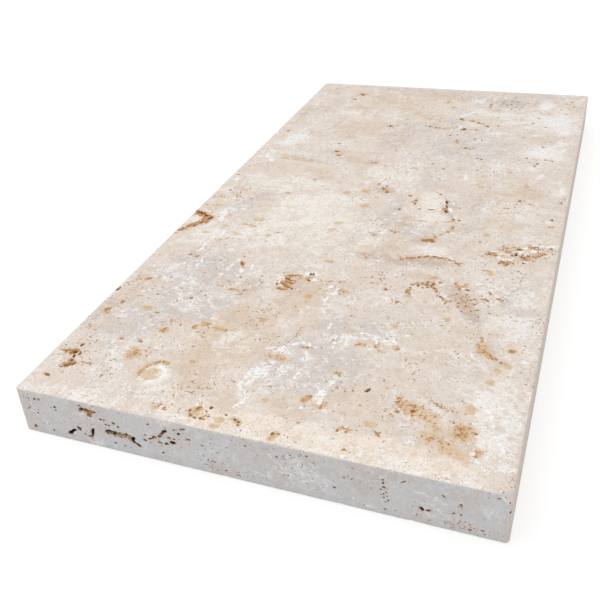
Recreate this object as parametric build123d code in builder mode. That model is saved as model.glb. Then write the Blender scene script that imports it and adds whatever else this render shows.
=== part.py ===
"""Travertine pool coping: one slab of stone, sawn square, its edges worn round by tumbling.

The slab lies on its sawn bed. X runs across it, Y along it and Z up, and the origin is the middle of
the bed. The near end, at -Y, is the one that shows its voids, and its right top corner is broken off.
"""

import os

from build123d import *

# Slab, in millimetres: a 12 by 24 inch coping
slab_width = 304.8
slab_length = 609.6
slab_thickness = 35.0

# Worn edges: the upright corners, the arris round the top and the one round the bed
corner_radius = 2.5
top_arris_radius = 1.2
bed_arris_radius = 1.8

# Broken corner: how far the break runs along the near end, along the right side and down the corner
break_along_end = 7.2
break_along_side = 6.2
break_down = 6.7

# Voids are natural hollows that the saw opened. Their floor is this share of the mouth
void_floor_share = 0.6

# Voids of the near end. Each is (from the left side, above mid height, long, high, tilt in degrees, deep)
end_voids = [
    (50.5, 10.4, 9.0, 5.0, -4.0, 3.0),
    (36.0, -10.0, 5.6, 2.8, 42.0, 4.0),
    (43.2, -5.6, 4.0, 2.4, 115.0, 3.2),
    (52.6, -6.4, 8.6, 2.2, 70.0, 4.0),
    (68.6, -3.0, 12.6, 4.4, 14.0, 5.0),
    (76.6, -2.2, 12.4, 3.6, -4.0, 5.0),
    (83.2, -5.8, 5.4, 2.6, 118.0, 3.0),
    (70.2, 5.8, 3.0, 2.2, 95.0, 3.0),
    (104.2, 7.6, 5.4, 3.0, 24.0, 3.2),
    (109.2, 0.8, 4.8, 2.5, 0.0, 3.6),
    (115.2, 8.8, 3.0, 2.2, 50.0, 2.4),
    (259.2, -5.8, 3.4, 2.2, 70.0, 3.0),
    (262.4, -5.8, 2.8, 2.0, 0.0, 2.2),
]

# Voids of the top. Each is (from the left side, from the near end, long, wide, tilt in degrees, deep)
top_voids = [
    (9.6, 246.8, 23.0, 5.0, -20.0, 4.0),
    (11.2, 229.8, 32.0, 4.6, 56.0, 3.0),
    (208.4, 313.8, 9.0, 2.4, 118.0, 3.2),
    (210.8, 302.6, 8.0, 3.4, 105.0, 3.4),
    (219.6, 286.8, 6.0, 2.6, 120.0, 2.0),
    (206.6, 246.8, 10.6, 4.0, 20.0, 1.8),
    (121.0, 162.6, 6.0, 2.0, 12.0, 1.6),
    (18.6, 39.4, 6.0, 2.4, 110.0, 2.0),
    (19.8, 29.8, 6.6, 3.0, 40.0, 2.2),
    (268.6, 229.2, 9.6, 4.2, 15.0, 1.8),
    (274.6, 245.0, 10.4, 4.2, 40.0, 2.0),
    (283.6, 251.0, 8.4, 3.4, 24.0, 1.8),
    (120.6, 12.2, 8.0, 3.2, 80.0, 2.0),
]

# Where the faces stand
left, right = -slab_width / 2, slab_width / 2
near = -slab_length / 2
near_end = Plane(origin=(left, near, slab_thickness / 2), x_dir=(1, 0, 0), z_dir=(0, -1, 0))
top = Plane(origin=(left, near, slab_thickness), x_dir=(1, 0, 0), z_dir=(0, 0, 1))


def broken_corner():
    """The plane of the break, facing out of the stone, through its three points on the corner's edges."""
    on_end = Vector(right - break_along_end, near, slab_thickness)
    on_side = Vector(right, near + break_along_side, slab_thickness)
    on_corner = Vector(right, near, slab_thickness - break_down)
    across = on_side - on_end
    return Plane(origin=on_end, x_dir=across, z_dir=(on_corner - on_end).cross(across))


def open_voids(face, voids):
    """Sinks a hollow into the face for each of the voids, from its mouth to its smaller floor."""
    for across, along, length, width, tilt, depth in voids:
        with BuildSketch(face) as mouth:
            with Locations((across, along)):
                Ellipse(length / 2, width / 2, rotation=tilt)
        with BuildSketch(face.offset(-depth)) as floor:
            with Locations((across, along)):
                Ellipse(length / 2 * void_floor_share, width / 2 * void_floor_share, rotation=tilt)
        loft([mouth.sketch, floor.sketch], ruled=True, mode=Mode.SUBTRACT)


with BuildPart() as coping_slab:
    with BuildSketch():
        RectangleRounded(slab_width, slab_length, corner_radius)
    extrude(amount=slab_thickness)
    fillet(coping_slab.faces().sort_by(Axis.Z)[-1].edges(), radius=top_arris_radius)
    fillet(coping_slab.faces().sort_by(Axis.Z)[0].edges(), radius=bed_arris_radius)
    split(bisect_by=broken_corner(), keep=Keep.BOTTOM)
    open_voids(near_end, end_voids)
    open_voids(top, top_voids)

coping_slab.part.label = "coping_slab"

os.makedirs("parts", exist_ok=True)
export_step(coping_slab.part, "parts/coping_slab.step")
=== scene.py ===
import math

import bmesh
import bpy
import numpy as np
from mathutils import Matrix, Vector, geometry, noise


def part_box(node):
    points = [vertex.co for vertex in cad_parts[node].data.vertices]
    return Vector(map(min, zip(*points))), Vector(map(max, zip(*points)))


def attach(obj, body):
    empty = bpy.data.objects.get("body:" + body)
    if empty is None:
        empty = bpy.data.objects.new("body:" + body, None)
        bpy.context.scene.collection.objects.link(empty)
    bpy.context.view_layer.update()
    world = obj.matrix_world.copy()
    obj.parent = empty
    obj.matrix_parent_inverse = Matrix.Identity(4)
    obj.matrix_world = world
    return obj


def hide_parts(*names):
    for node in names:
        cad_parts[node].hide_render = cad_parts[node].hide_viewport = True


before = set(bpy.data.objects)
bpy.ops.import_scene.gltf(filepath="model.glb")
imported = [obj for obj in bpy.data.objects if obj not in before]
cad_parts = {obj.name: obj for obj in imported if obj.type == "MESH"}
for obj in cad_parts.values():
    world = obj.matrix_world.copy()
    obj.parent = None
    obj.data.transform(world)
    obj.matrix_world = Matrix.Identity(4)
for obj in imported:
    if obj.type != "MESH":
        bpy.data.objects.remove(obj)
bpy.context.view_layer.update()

# The slab: one piece of travertine, sawn square from the block on all sides and then tumbled, so that
# its arrises are worn round, its upright corners are blunt and one top corner has broken off.
# It is measured in millimetres here, from the middle of its bed, and turned into metres at the end.
MM = 0.001
slab_low, slab_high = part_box("coping_slab")
width, length, thickness = (slab_high - slab_low) / MM
half_width, half_length = width / 2, length / 2
corner_radius = 2.5
top_arris = 1.2
bed_arris = 1.8

straight_x, straight_y = half_width - corner_radius, half_length - corner_radius
bend = corner_radius * math.pi / 2
rim_legs = [
    (straight_x, (0, half_length), (-1, 0)),
    (bend, (-straight_x, straight_y), 90),
    (2 * straight_y, (-half_width, straight_y), (0, -1)),
    (bend, (-straight_x, -straight_y), 180),
    (2 * straight_x, (-straight_x, -half_length), (1, 0)),
    (bend, (straight_x, -straight_y), 270),
    (2 * straight_y, (half_width, -straight_y), (0, 1)),
    (bend, (straight_x, straight_y), 0),
    (straight_x, (straight_x, half_length), (-1, 0)),
]
rim_length = sum(leg for leg, _, _ in rim_legs)
hair = 1e-6


def rim(run):
    """The slab's outline in plan and its outward direction, run mm round it from the middle of the far end."""
    run = np.asarray(run, float)
    point, outward = np.zeros((len(run), 2)), np.zeros((len(run), 2))
    start = 0.0
    for leg, origin, way in rim_legs:
        here = (run >= start - hair) & (run <= start + leg + hair)
        along = run[here] - start
        if isinstance(way, tuple):
            point[here] = np.array(origin) + along[:, None] * np.array(way)
            outward[here] = (way[1], -way[0])
        else:
            turn = math.radians(way) + along / corner_radius
            outward[here] = np.stack([np.cos(turn), np.sin(turn)], 1)
            point[here] = np.array(origin) + corner_radius * outward[here]
        start += leg
    return point, outward


top_bend, bed_bend = top_arris * math.pi / 2, bed_arris * math.pi / 2
side_height = thickness - top_arris - bed_arris
band_height = top_bend + side_height + bed_bend


def band(run, drop):
    """A point of the slab's sides and its outward direction, drop mm down the wrapped section from the top."""
    plan, outward = rim(run)
    top_turn = np.clip(drop / top_arris, 0, math.pi / 2)
    bed_turn = np.clip((drop - top_bend - side_height) / bed_arris, 0, math.pi / 2)
    inset = top_arris * (1 - np.sin(top_turn)) + bed_arris * (1 - np.cos(bed_turn))
    down = np.clip(drop - top_bend, 0, side_height)
    height = thickness - top_arris * (1 - np.cos(top_turn)) - down - bed_arris * np.sin(bed_turn)
    tip = np.cos(top_turn) - np.sin(bed_turn)
    reach = np.sin(top_turn) * np.cos(bed_turn)
    return (
        np.column_stack([plan - inset[:, None] * outward, height]),
        np.column_stack([outward * reach[:, None], tip]),
    )


# The voids: hollows left in the stone when it grew, which the saw opened. On the top most are shallow, brown
# and long; on the near end they are deeper, and painted shade makes them dark. A void is (from the left, from
# the near end or below the top, half its length, half its width, its tilt in degrees, its depth).
top_voids = [
    (9.6, 247, 11.5, 3.8, -21, 0.9), (11, 229.4, 17, 3.2, 56, 0.8), (19.2, 242.4, 3.4, 1.5, 80, 4),
    (16, 240.6, 4.6, 3.4, 30, 0.7), (5.8, 250.6, 5.2, 1.9, -14, 4), (13.4, 247.4, 2.4, 0.9, -20, 3.6),
    (15.8, 233.4, 3, 1.2, 64, 3.6), (12.4, 227.4, 2.4, 1.1, 50, 3.4), (5, 218.4, 2.2, 1, 60, 3.2),
    (208, 317, 2.9, 1.3, 105, 3.8), (209.6, 308.6, 2.6, 0.8, 105, 1.6), (210.6, 300, 2.9, 1.5, 115, 3.8),
    (208, 304, 2.6, 1.2, 60, 0.7), (220.6, 308, 1.2, 0.8, 60, 1.2), (219.2, 286.4, 2, 0.9, 115, 2.4),
    (224.2, 286, 1.3, 0.9, 70, 2.4), (199.4, 330.6, 2, 0.9, 130, 2.8), (181.8, 314.6, 1.6, 1.1, 90, 3),
    (182.4, 309, 1.4, 0.9, 90, 2), (198, 300, 2.6, 1, 10, 2.2), (188.4, 299, 1.4, 0.9, 20, 1.8),
    (206.4, 247.6, 5.4, 2.4, 20, 1), (211, 246.4, 2, 1.3, 20, 3), (175.7, 255.8, 1.2, 0.9, 0, 3),
    (179, 254.4, 1.6, 0.8, 130, 2), (122, 171, 4.6, 1.3, 16, 1), (120.8, 165.8, 4, 1.2, -26, 1.4),
    (123.4, 161.2, 4.4, 0.9, -14, 1.6), (120.6, 157.6, 5, 1.2, -24, 1), (124.4, 155, 3.2, 0.9, -8, 1.6),
    (120.6, 151.4, 4.4, 1.1, -4, 1), (115, 157.8, 1, 0.6, 60, 2.6), (128.2, 153.6, 1.2, 0.8, 120, 2.6),
    (134.6, 176.4, 1.8, 0.7, 100, 2.6), (136.8, 176.6, 1.6, 0.6, 100, 2.6),
    (136.4, 167.4, 1.8, 0.9, 130, 2.4), (15.4, 43.4, 3.4, 2.2, 20, 1.2), (15.2, 44.4, 1.2, 0.8, 30, 3.4),
    (20.4, 42.4, 1.4, 0.8, 60, 2.8), (9, 43.2, 2.4, 0.7, 10, 1.4), (16.2, 51.6, 1.6, 1.2, 80, 3.2),
    (18, 39.4, 1.8, 1, 110, 2.6), (19.2, 30.4, 3.4, 2.2, 35, 1.2), (18.8, 29.4, 1.5, 0.8, 30, 3.4),
    (22.8, 32, 1.7, 0.9, 75, 3.4), (19.4, 35.2, 1.4, 0.7, 70, 3), (16.4, 27, 0.9, 0.7, 0, 2.6),
    (12, 17.6, 2.6, 1, -20, 1.2), (276.3, 249.4, 1.9, 1.5, 0, 2), (274.8, 241.4, 1.6, 1, 60, 2.6),
    (272.4, 238.6, 1.4, 0.8, 20, 2.4), (280.8, 237.8, 3.4, 0.9, -10, 1.8),
    (267.4, 227.6, 1.8, 0.9, 20, 0.9), (271.4, 225.6, 1, 0.7, 0, 1.6), (265, 225, 0.9, 0.7, 60, 1.4),
    (268.6, 222.6, 0.9, 0.6, 0, 1.2), (264.4, 251.8, 1.2, 0.9, 0, 3.2), (246.4, 253.8, 1.2, 0.9, 0, 2.6),
    (206, 220.4, 1, 0.7, 30, 2.4), (212.2, 222.6, 1.2, 0.8, 0, 2.6), (217.2, 223.4, 1, 0.7, 0, 2.4),
    (222.6, 222.8, 1.2, 0.8, 0, 2.6), (229.6, 220.8, 1, 0.7, 120, 2.2), (236.4, 216.6, 0.9, 0.7, 60, 2),
    (256.2, 237.4, 1.3, 0.9, 100, 1.8), (260.6, 236.4, 1.2, 0.7, 0, 1.4), (254.6, 240, 0.9, 0.7, 30, 1.4),
    (283.6, 241, 1.6, 0.8, 40, 2), (282, 229.8, 1.4, 1, 0, 1.8), (286.6, 253.2, 4, 0.9, -20, 1),
    (214.8, 181.4, 1.1, 0.9, 0, 2.6), (217, 184.4, 1, 0.8, 30, 2.2), (220.2, 182.6, 1.2, 0.9, 0, 2.8),
    (221.6, 180, 1, 0.8, 0, 2.4), (223.8, 182.6, 1.1, 0.9, 60, 2.8), (225.2, 185, 1.2, 0.9, 0, 2.8),
    (220.8, 187, 1, 0.8, 0, 2.2), (229, 188.2, 1.1, 0.9, 0, 2.4), (210.8, 180.6, 1, 0.8, 0, 2.2),
    (226.4, 180, 1, 0.8, 0, 2.2), (232.6, 170.4, 1, 0.8, 0, 2.2), (249.6, 183.2, 1.3, 1, 0, 2.8),
    (256.2, 173, 1.2, 1, 0, 3), (243.6, 183.4, 1, 0.7, 0, 2.2), (206, 156.2, 1.2, 0.9, 60, 2),
    (211.4, 168.4, 1, 0.8, 40, 2.4), (210, 176.4, 0.9, 0.7, 90, 2.2), (229.4, 175.6, 1, 0.7, 120, 2.2),
    (234.4, 168.8, 1.1, 0.7, 130, 2.2), (218.4, 178.4, 0.9, 0.7, 0, 2.2), (117.6, 12.6, 1.3, 0.7, 90, 1.5),
    (120, 8.2, 1, 0.6, 20, 1.4), (122, 16.4, 1.8, 0.8, 30, 1), (123.2, 7.6, 0.9, 0.7, 60, 1.6),
    (129, 18.3, 1.2, 1.1, 0, 3.2), (127.5, 14.5, 0.9, 0.6, 80, 1.7), (126.4, 8.3, 1, 0.7, 60, 1.5),
    (130.6, 10.8, 0.9, 0.6, 30, 1.4), (149.4, 11.4, 1.2, 0.8, -30, 2.2), (146.8, 12.8, 1.1, 0.6, -30, 1.8),
    (150.2, 8.9, 1, 0.6, 20, 1.4), (140, 15.1, 1.1, 0.7, -20, 1.6), (171.9, 8.3, 1.2, 0.6, 80, 1.6),
    (175.6, 8.8, 0.8, 0.5, 0, 1.4), (183.8, 515, 2.6, 1.9, 60, 2.2), (213.2, 498.8, 2.4, 1.7, 120, 1.8),
    (191.6, 486, 3, 1.8, 75, 2), (115.2, 482, 2.4, 1.5, 130, 1.8), (57.6, 574.6, 3.6, 2.1, 140, 2),
    (53.4, 556.8, 2, 1.3, 120, 1.4), (80.8, 404.8, 2.6, 2.2, 0, 1.1), (85.4, 395.6, 2.4, 2, 0, 1),
    (153.4, 325, 2.2, 1.5, 60, 1.3), (148.6, 331, 2.2, 1.3, 110, 1.2), (150, 337.4, 1.6, 1, 60, 1.2),
    (242.6, 49, 1.4, 0.9, 20, 1.8), (212.6, 58.6, 1.6, 0.9, 60, 2.2), (213.4, 60.6, 0.9, 0.7, 60, 1.8),
    (178.6, 40.2, 1.6, 0.9, 50, 0.6), (78.2, 177.8, 3.6, 1.4, 118, 1.1), (243, 176, 0.9, 0.7, 20, 1.6),
    (247, 172, 0.8, 0.6, 70, 1.6), (250, 177, 1, 0.7, 0, 1.6), (254, 171, 0.9, 0.7, 120, 1.8),
    (246, 165, 0.8, 0.6, 40, 1.4), (252, 163, 0.9, 0.7, 0, 1.8), (257, 166, 0.8, 0.6, 90, 1.4),
    (256, 158, 0.8, 0.6, 0, 1.6), (260, 160, 0.9, 0.6, 30, 1.6), (250, 156, 0.8, 0.6, 0, 1.4),
    (262, 152, 0.8, 0.6, 60, 1.6), (61.8, 123, 1.3, 1, 0, 3), (33.6, 145.4, 0.9, 0.6, 40, 1.6),
    (37.4, 139.2, 0.8, 0.6, 0, 1.6), (27.4, 131, 0.8, 0.6, 0, 1.6), (48.4, 133.4, 0.8, 0.6, 70, 1.6),
    (64.6, 133.8, 0.9, 0.6, 0, 1.6), (70.4, 128.6, 0.8, 0.6, 30, 1.6), (35.4, 121.4, 0.9, 0.7, 0, 1.8),
    (53.4, 117.6, 0.8, 0.6, 60, 1.6), (2.2, 120.6, 3.2, 1.3, 90, 2),
]
# Brown spots of the far half, each a pit 2 to 4 mm across: (from the left, from the near end).
far_spots = [
    (204, 486), (207, 463), (214, 460), (209, 438), (202, 438), (261, 424), (278, 423), (272, 412),
    (270, 407), (284, 421), (217, 414), (221, 413), (273, 453), (228, 580), (234, 576), (224, 565),
    (240, 562), (245, 575), (207, 566), (208, 555), (217, 548), (238, 554), (230, 554), (220, 526),
    (204, 506), (197, 511), (261, 530), (257, 515), (270, 506), (269, 546), (287, 547), (219, 572),
    (228, 569), (241, 569), (234, 560), (12, 448), (76, 425), (20, 592), (32, 599), (156, 488), (163, 486),
    (171, 483), (190, 455), (192, 449), (160, 565), (169, 549), (112, 567), (126, 385), (179, 394),
    (191, 384), (39, 286), (13, 298), (6, 332), (142, 340), (175, 322), (172, 295), (266, 332), (295, 303),
    (188, 470), (181, 468), (224, 502), (290, 585), (281, 560),
]
end_voids = [
    (48.8, 6.6, 2.2, 2, 10, 2.4), (53, 7.2, 3.4, 2.6, 4, 1.9), (57.4, 6.2, 1.5, 0.8, 20, 1.6),
    (53.4, 9.8, 2, 1.2, 0, 1.5), (35.6, 28, 3, 1.5, 40, 4.2), (38.6, 25.4, 2.4, 1, 30, 3.2),
    (43.3, 23, 2.1, 1.15, 118, 3.4), (52.7, 23.8, 4.3, 1.15, 72, 4.2), (50.4, 27.2, 2.4, 0.7, 8, 1.6),
    (46.8, 26.4, 0.9, 0.6, 0, 1.4), (66.4, 20.2, 5, 1.9, 12, 5), (72.2, 20.6, 5.6, 2.3, 2, 5.4),
    (78.6, 20.6, 5.2, 2.2, -6, 5.2), (81.6, 22.8, 2.8, 1.2, -52, 3.4), (85.4, 25, 2.6, 1, -38, 2.8),
    (61.2, 11, 1.1, 0.85, 0, 1.8), (70, 11.9, 1.3, 0.95, -50, 2.2), (73, 14, 1.2, 0.8, 10, 2),
    (64.5, 14.2, 0.9, 0.6, 0, 1.2), (66.6, 14.3, 0.9, 0.6, 30, 1.2), (68.6, 28, 0.9, 0.8, 0, 1.8),
    (75.2, 28.4, 0.7, 0.6, 0, 1.2), (91, 19.6, 1.3, 0.9, -20, 1.8), (96.4, 16.8, 1.6, 0.6, 38, 1.4),
    (105.4, 9.4, 2.4, 1.2, 40, 2.6), (103.4, 11.6, 1.6, 0.9, -30, 2), (101.8, 13.8, 1.8, 0.8, 20, 1.7),
    (97.6, 15.2, 1.6, 0.8, 10, 1.7), (108, 13.2, 1.4, 0.8, 20, 1.7), (94.6, 17.6, 1.5, 0.8, 30, 1.8),
    (91.6, 15.4, 0.9, 0.6, 0, 1.4), (101.4, 18.8, 1.8, 0.7, -10, 1.7), (105.6, 18.8, 1.7, 0.9, 14, 2),
    (110, 16.8, 2.1, 1.3, 4, 3.4), (95, 6.2, 1, 0.6, 40, 1.4), (112.6, 6.2, 0.9, 0.6, 0, 1.4),
    (130, 13.6, 0.88, 0.56, -40, 1.4), (139.4, 16.4, 0.56, 0.4, 0, 1.2), (102, 26.8, 1.1, 0.8, 60, 1.7),
    (115.1, 8.6, 1.4, 1, 50, 2.2), (111.6, 13.6, 1, 0.7, 0, 1.4), (121.6, 11.2, 1.1, 0.8, 20, 1.6),
    (118, 4.2, 2.6, 0.6, 22, 1.4), (143.4, 29.2, 0.8, 0.64, 0, 1.6), (132.6, 24, 0.64, 0.56, 0, 1.6),
    (134.8, 24.4, 0.64, 0.56, 0, 1.6), (137, 24.4, 0.72, 0.56, 0, 1.6), (158, 6, 0.64, 0.56, 0, 1.4),
    (146, 10.6, 0.64, 0.48, 0, 1.2), (177, 9, 0.72, 0.56, 0, 1.4), (181.2, 7.2, 0.48, 0.4, 0, 1.2),
    (185.2, 5.6, 0.72, 0.48, 40, 1.2), (190.4, 4.6, 0.56, 0.4, 20, 1.2), (195, 3.6, 0.72, 0.48, 40, 1.2),
    (210.3, 22.4, 0.88, 0.72, 0, 1.8), (216.2, 13, 0.64, 0.48, 0, 1.2), (237.8, 8.4, 0.64, 0.48, 80, 1.4),
    (238.2, 10.8, 0.96, 0.64, 100, 1.6), (238.6, 13.8, 1.2, 0.7, -35, 2), (237, 15.8, 0.48, 0.4, 0, 1.2),
    (239.6, 16.8, 0.56, 0.48, 0, 1.2), (238.2, 18.6, 0.64, 0.48, 80, 1.4), (240.2, 19.8, 0.48, 0.4, 0, 1.2),
    (238.4, 21.4, 0.56, 0.48, 0, 1.2), (240.6, 22.8, 0.72, 0.48, 60, 1.4), (239.2, 24.4, 0.48, 0.4, 0, 1.2),
    (239, 30, 0.72, 0.56, 0, 1.4), (248.6, 6.8, 2.1, 0.4, 40, 1.2), (259, 23.4, 1.8, 1.15, -60, 3),
    (262.4, 23.4, 1.3, 0.85, 10, 2.2), (270.6, 10.6, 1.9, 0.4, -46, 1.2), (279.2, 14, 0.96, 0.64, 60, 1.6),
    (276, 21, 0.8, 0.56, 0, 1.4), (279.6, 21.2, 0.8, 0.56, 30, 1.4), (284.6, 30.4, 0.96, 0.56, 0, 1.4),
    (291, 29, 0.8, 0.56, 0, 1.2), (303.3, 5, 0.56, 0.4, 30, 1), (302, 1.6, 0.48, 0.32, 20, 0.8),
    (304, 12, 0.96, 0.48, 75, 0.9), (13.6, 6.2, 1.1, 0.8, 40, 1.6), (17, 5.6, 0.9, 0.8, 0, 1.4),
    (28, 9.2, 1.2, 0.9, 0, 1.8), (28.4, 11.6, 0.7, 0.6, 0, 1.2), (8.2, 29.6, 1.5, 1, 60, 1.6),
    (22.4, 29.4, 1, 0.7, 90, 1.2), (13.4, 17.4, 0.8, 0.7, 0, 1.4), (47.6, 3.4, 0.9, 0.7, 0, 1.2),
]

# Stains and crystals: iron and lime that water left in the stone. A pale line and a warm band along the top's
# near arris are partly that and partly painted highlight. They are laid over the slab as soft patches, which
# the finish below breaks up into grain. A patch is (from the left, from the near end, half its length, half its
# width, its tilt in degrees, its strength).
white_patches = [
    (87, 183.5, 3.4, 2, 60, 1.7), (87.4, 175, 4.6, 1.6, 95, 1.5), (81.8, 168.4, 4.4, 2.4, 95, 1.9),
    (82.4, 160.4, 2.4, 2, 0, 1.4), (87.4, 163, 3.4, 1.2, 80, 1.3), (67.6, 159, 2.9, 2.1, 0, 1.5),
    (41, 143, 13, 11, 60, 0.5), (52.4, 143.4, 1.9, 1.5, 0, 2), (46.4, 141.2, 1.6, 1.3, 0, 2),
    (44, 132.6, 2, 1.4, 0, 2), (44.6, 137.6, 1.6, 1.3, 0, 1.8), (28.4, 143.6, 2.6, 1.4, 100, 1.4),
    (57.6, 128.8, 2.2, 1.6, 0, 1.8), (51.2, 125.8, 1.6, 1.3, 0, 1.6), (68, 123, 7, 4, 0, 0.6),
    (23.5, 123.5, 6, 4, 0, 0.7), (10, 124, 6, 4, 0, 0.6), (36, 116, 10, 6, 0, 0.45),
    (62, 112, 14, 8, 0, 0.45), (140.3, 168.8, 2.3, 2.1, 0, 2), (114.6, 165, 7, 2.2, 100, 1.2),
    (169.7, 115.3, 6, 1.4, 90, 1.4), (185, 107, 5, 3, 0, 1.3), (179, 98.8, 7, 1.3, 95, 1.3),
    (150, 83, 9, 5, 10, 1.2), (142, 56, 14, 5.5, 80, 1), (156, 62, 9, 4, 80, 1.1), (167, 78, 6, 4, 20, 1),
    (187, 48, 9, 3.4, 75, 1.4), (193, 108, 10, 3, 8, 1.3), (186, 100, 6, 2.6, 80, 1),
    (202, 100, 6, 2.4, 100, 1), (209, 110, 4, 3, 50, 1.2), (48, 60, 20, 12, 60, 0.55),
    (289, 45, 36, 12, 95, 0.62), (297, 24, 16, 7, 95, 0.8), (280, 70, 12, 9, 90, 0.65),
    (247, 24, 5, 4, 0, 0.9), (27, 253, 12, 4.4, 108, 1.25), (36, 266, 14, 6, 40, 0.9),
    (24.6, 254, 4, 1.8, 80, 1.6), (45, 30, 22, 16, 0, 0.5), (60, 14, 18, 9, 0, 0.5),
    (30, 64, 16, 10, 0, 0.5), (66, 62, 12, 9, 0, 0.5), (165, 60, 26, 18, 0, 0.38),
    (16, 380.4, 5, 1.9, 135, 1.9), (24, 371, 6, 1.9, 135, 1.7), (23.4, 421, 4, 3, 30, 1.9),
    (14.5, 413, 2.4, 1.4, 0, 1.5), (29, 435, 9, 6, 0, 0.8), (8.5, 322, 4, 2.4, 90, 1.6),
    (26, 284, 22, 10, 20, 0.6), (169, 251, 3.6, 2.6, 30, 1.7), (169.4, 240, 7, 1.2, 90, 1.4),
    (169.4, 228, 4, 1, 90, 1.2), (146, 218, 8, 4, 0, 0.7), (213.8, 314, 2.6, 1.5, 100, 1.7),
    (213.6, 303.4, 3, 2, 120, 1.8), (204.6, 301.5, 2.4, 1.3, 0, 1.7), (198.6, 302.6, 2.6, 1.2, 10, 1.7),
    (214.6, 300.6, 2.2, 2.6, 0, 1.6), (220.3, 291, 2, 1.8, 0, 1.6), (170.6, 286.4, 3, 2, 30, 1.2),
    (179, 292.8, 2, 1.4, 0, 1.3), (177, 273.7, 2.4, 2.2, 0, 1.5), (288, 258, 5, 2, 20, 1.9),
    (298, 259, 4, 1.4, 10, 1.6), (277.8, 245.4, 2.6, 1.5, 10, 2), (281, 252.6, 1.6, 3, 0, 1.8),
    (288, 248.8, 4, 2, 30, 1.7), (283, 231, 3.4, 1.5, -30, 1.6), (259, 242.4, 3.4, 1.3, 20, 1.6),
    (268.6, 231.8, 6, 1.8, 5, 2), (263.4, 234.4, 3, 1.3, -30, 1.8), (280, 233.6, 1.4, 3, 0, 1.6),
    (266, 241, 4, 1.1, 40, 1.5), (275, 244, 16, 8, 30, 0.75), (282, 272, 5, 1.2, 130, 1.3),
    (277.8, 267, 2.6, 1, 120, 1.3), (292, 298.6, 5, 4, 90, 1.1), (298.6, 359, 7, 3, 95, 1.5),
    (278, 387, 5, 3, 60, 1), (214.6, 367, 4, 1.6, 85, 1.9), (214, 375, 2.2, 1.2, 90, 1.6),
    (234, 413, 2.2, 1.5, 30, 1.9), (227.3, 473.8, 1.9, 1.3, 120, 1.7), (239, 439, 1.7, 1.2, 0, 1.6),
    (287, 470.6, 4, 2.4, 60, 1.7), (226, 480, 8, 2.4, 15, 1.1), (263, 481, 6, 1.6, 15, 1.4),
    (276, 440, 15, 14, 0, 0.9), (292.4, 449.6, 5, 2, 60, 1.4), (290, 494, 6, 4, 60, 1.2),
    (187, 492, 5, 1.7, 95, 1.9), (208.4, 580.6, 2.6, 2, 90, 2), (219.6, 587, 2, 1.5, 90, 1.8),
    (225, 552, 2, 1.5, 0, 1.8), (231.6, 567, 1.5, 1.2, 0, 1.6), (250.4, 590, 4, 2, 60, 1.1),
    (189, 575, 8, 4, 30, 1), (265, 567, 12, 8, 85, 0.9), (275, 522, 26, 18, 0, 0.75),
    (300.8, 594, 4, 3, 90, 1.5), (196, 538, 6, 3.4, 30, 1.1), (198, 158, 3.6, 2, 80, 1.5),
    (246, 184.6, 2.4, 1.4, 30, 1.5), (255.5, 193, 3, 1.6, 20, 1.4), (236, 166, 6, 7, 0, 0.6),
    # The long pale patches along the near arris, on this line and the next, are partly pale wear and partly
    # painted highlight.
    (265.4, 108.6, 4, 1.1, 115, 1.6), (296.6, 110.2, 1.8, 1.5, 0, 1.8), (240, 10, 40, 6, 0, 0.45),
    (60, 6, 60, 6, 0, 0.45), (270, 2.6, 34, 2.4, 0, 1), (196, 2.4, 26, 1.6, 0, 0.8),
    (113, 5, 6, 2.4, 0, 1.2), (155, 5.4, 5, 1.6, 0, 1.3), (120, 18.6, 1.8, 1.2, 0, 1.8),
    (180, 33, 1.5, 1.3, 0, 1.9), (142, 23, 2, 1.4, 60, 1.4), (166, 2.4, 3, 1.2, 0, 1.3),
]
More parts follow.
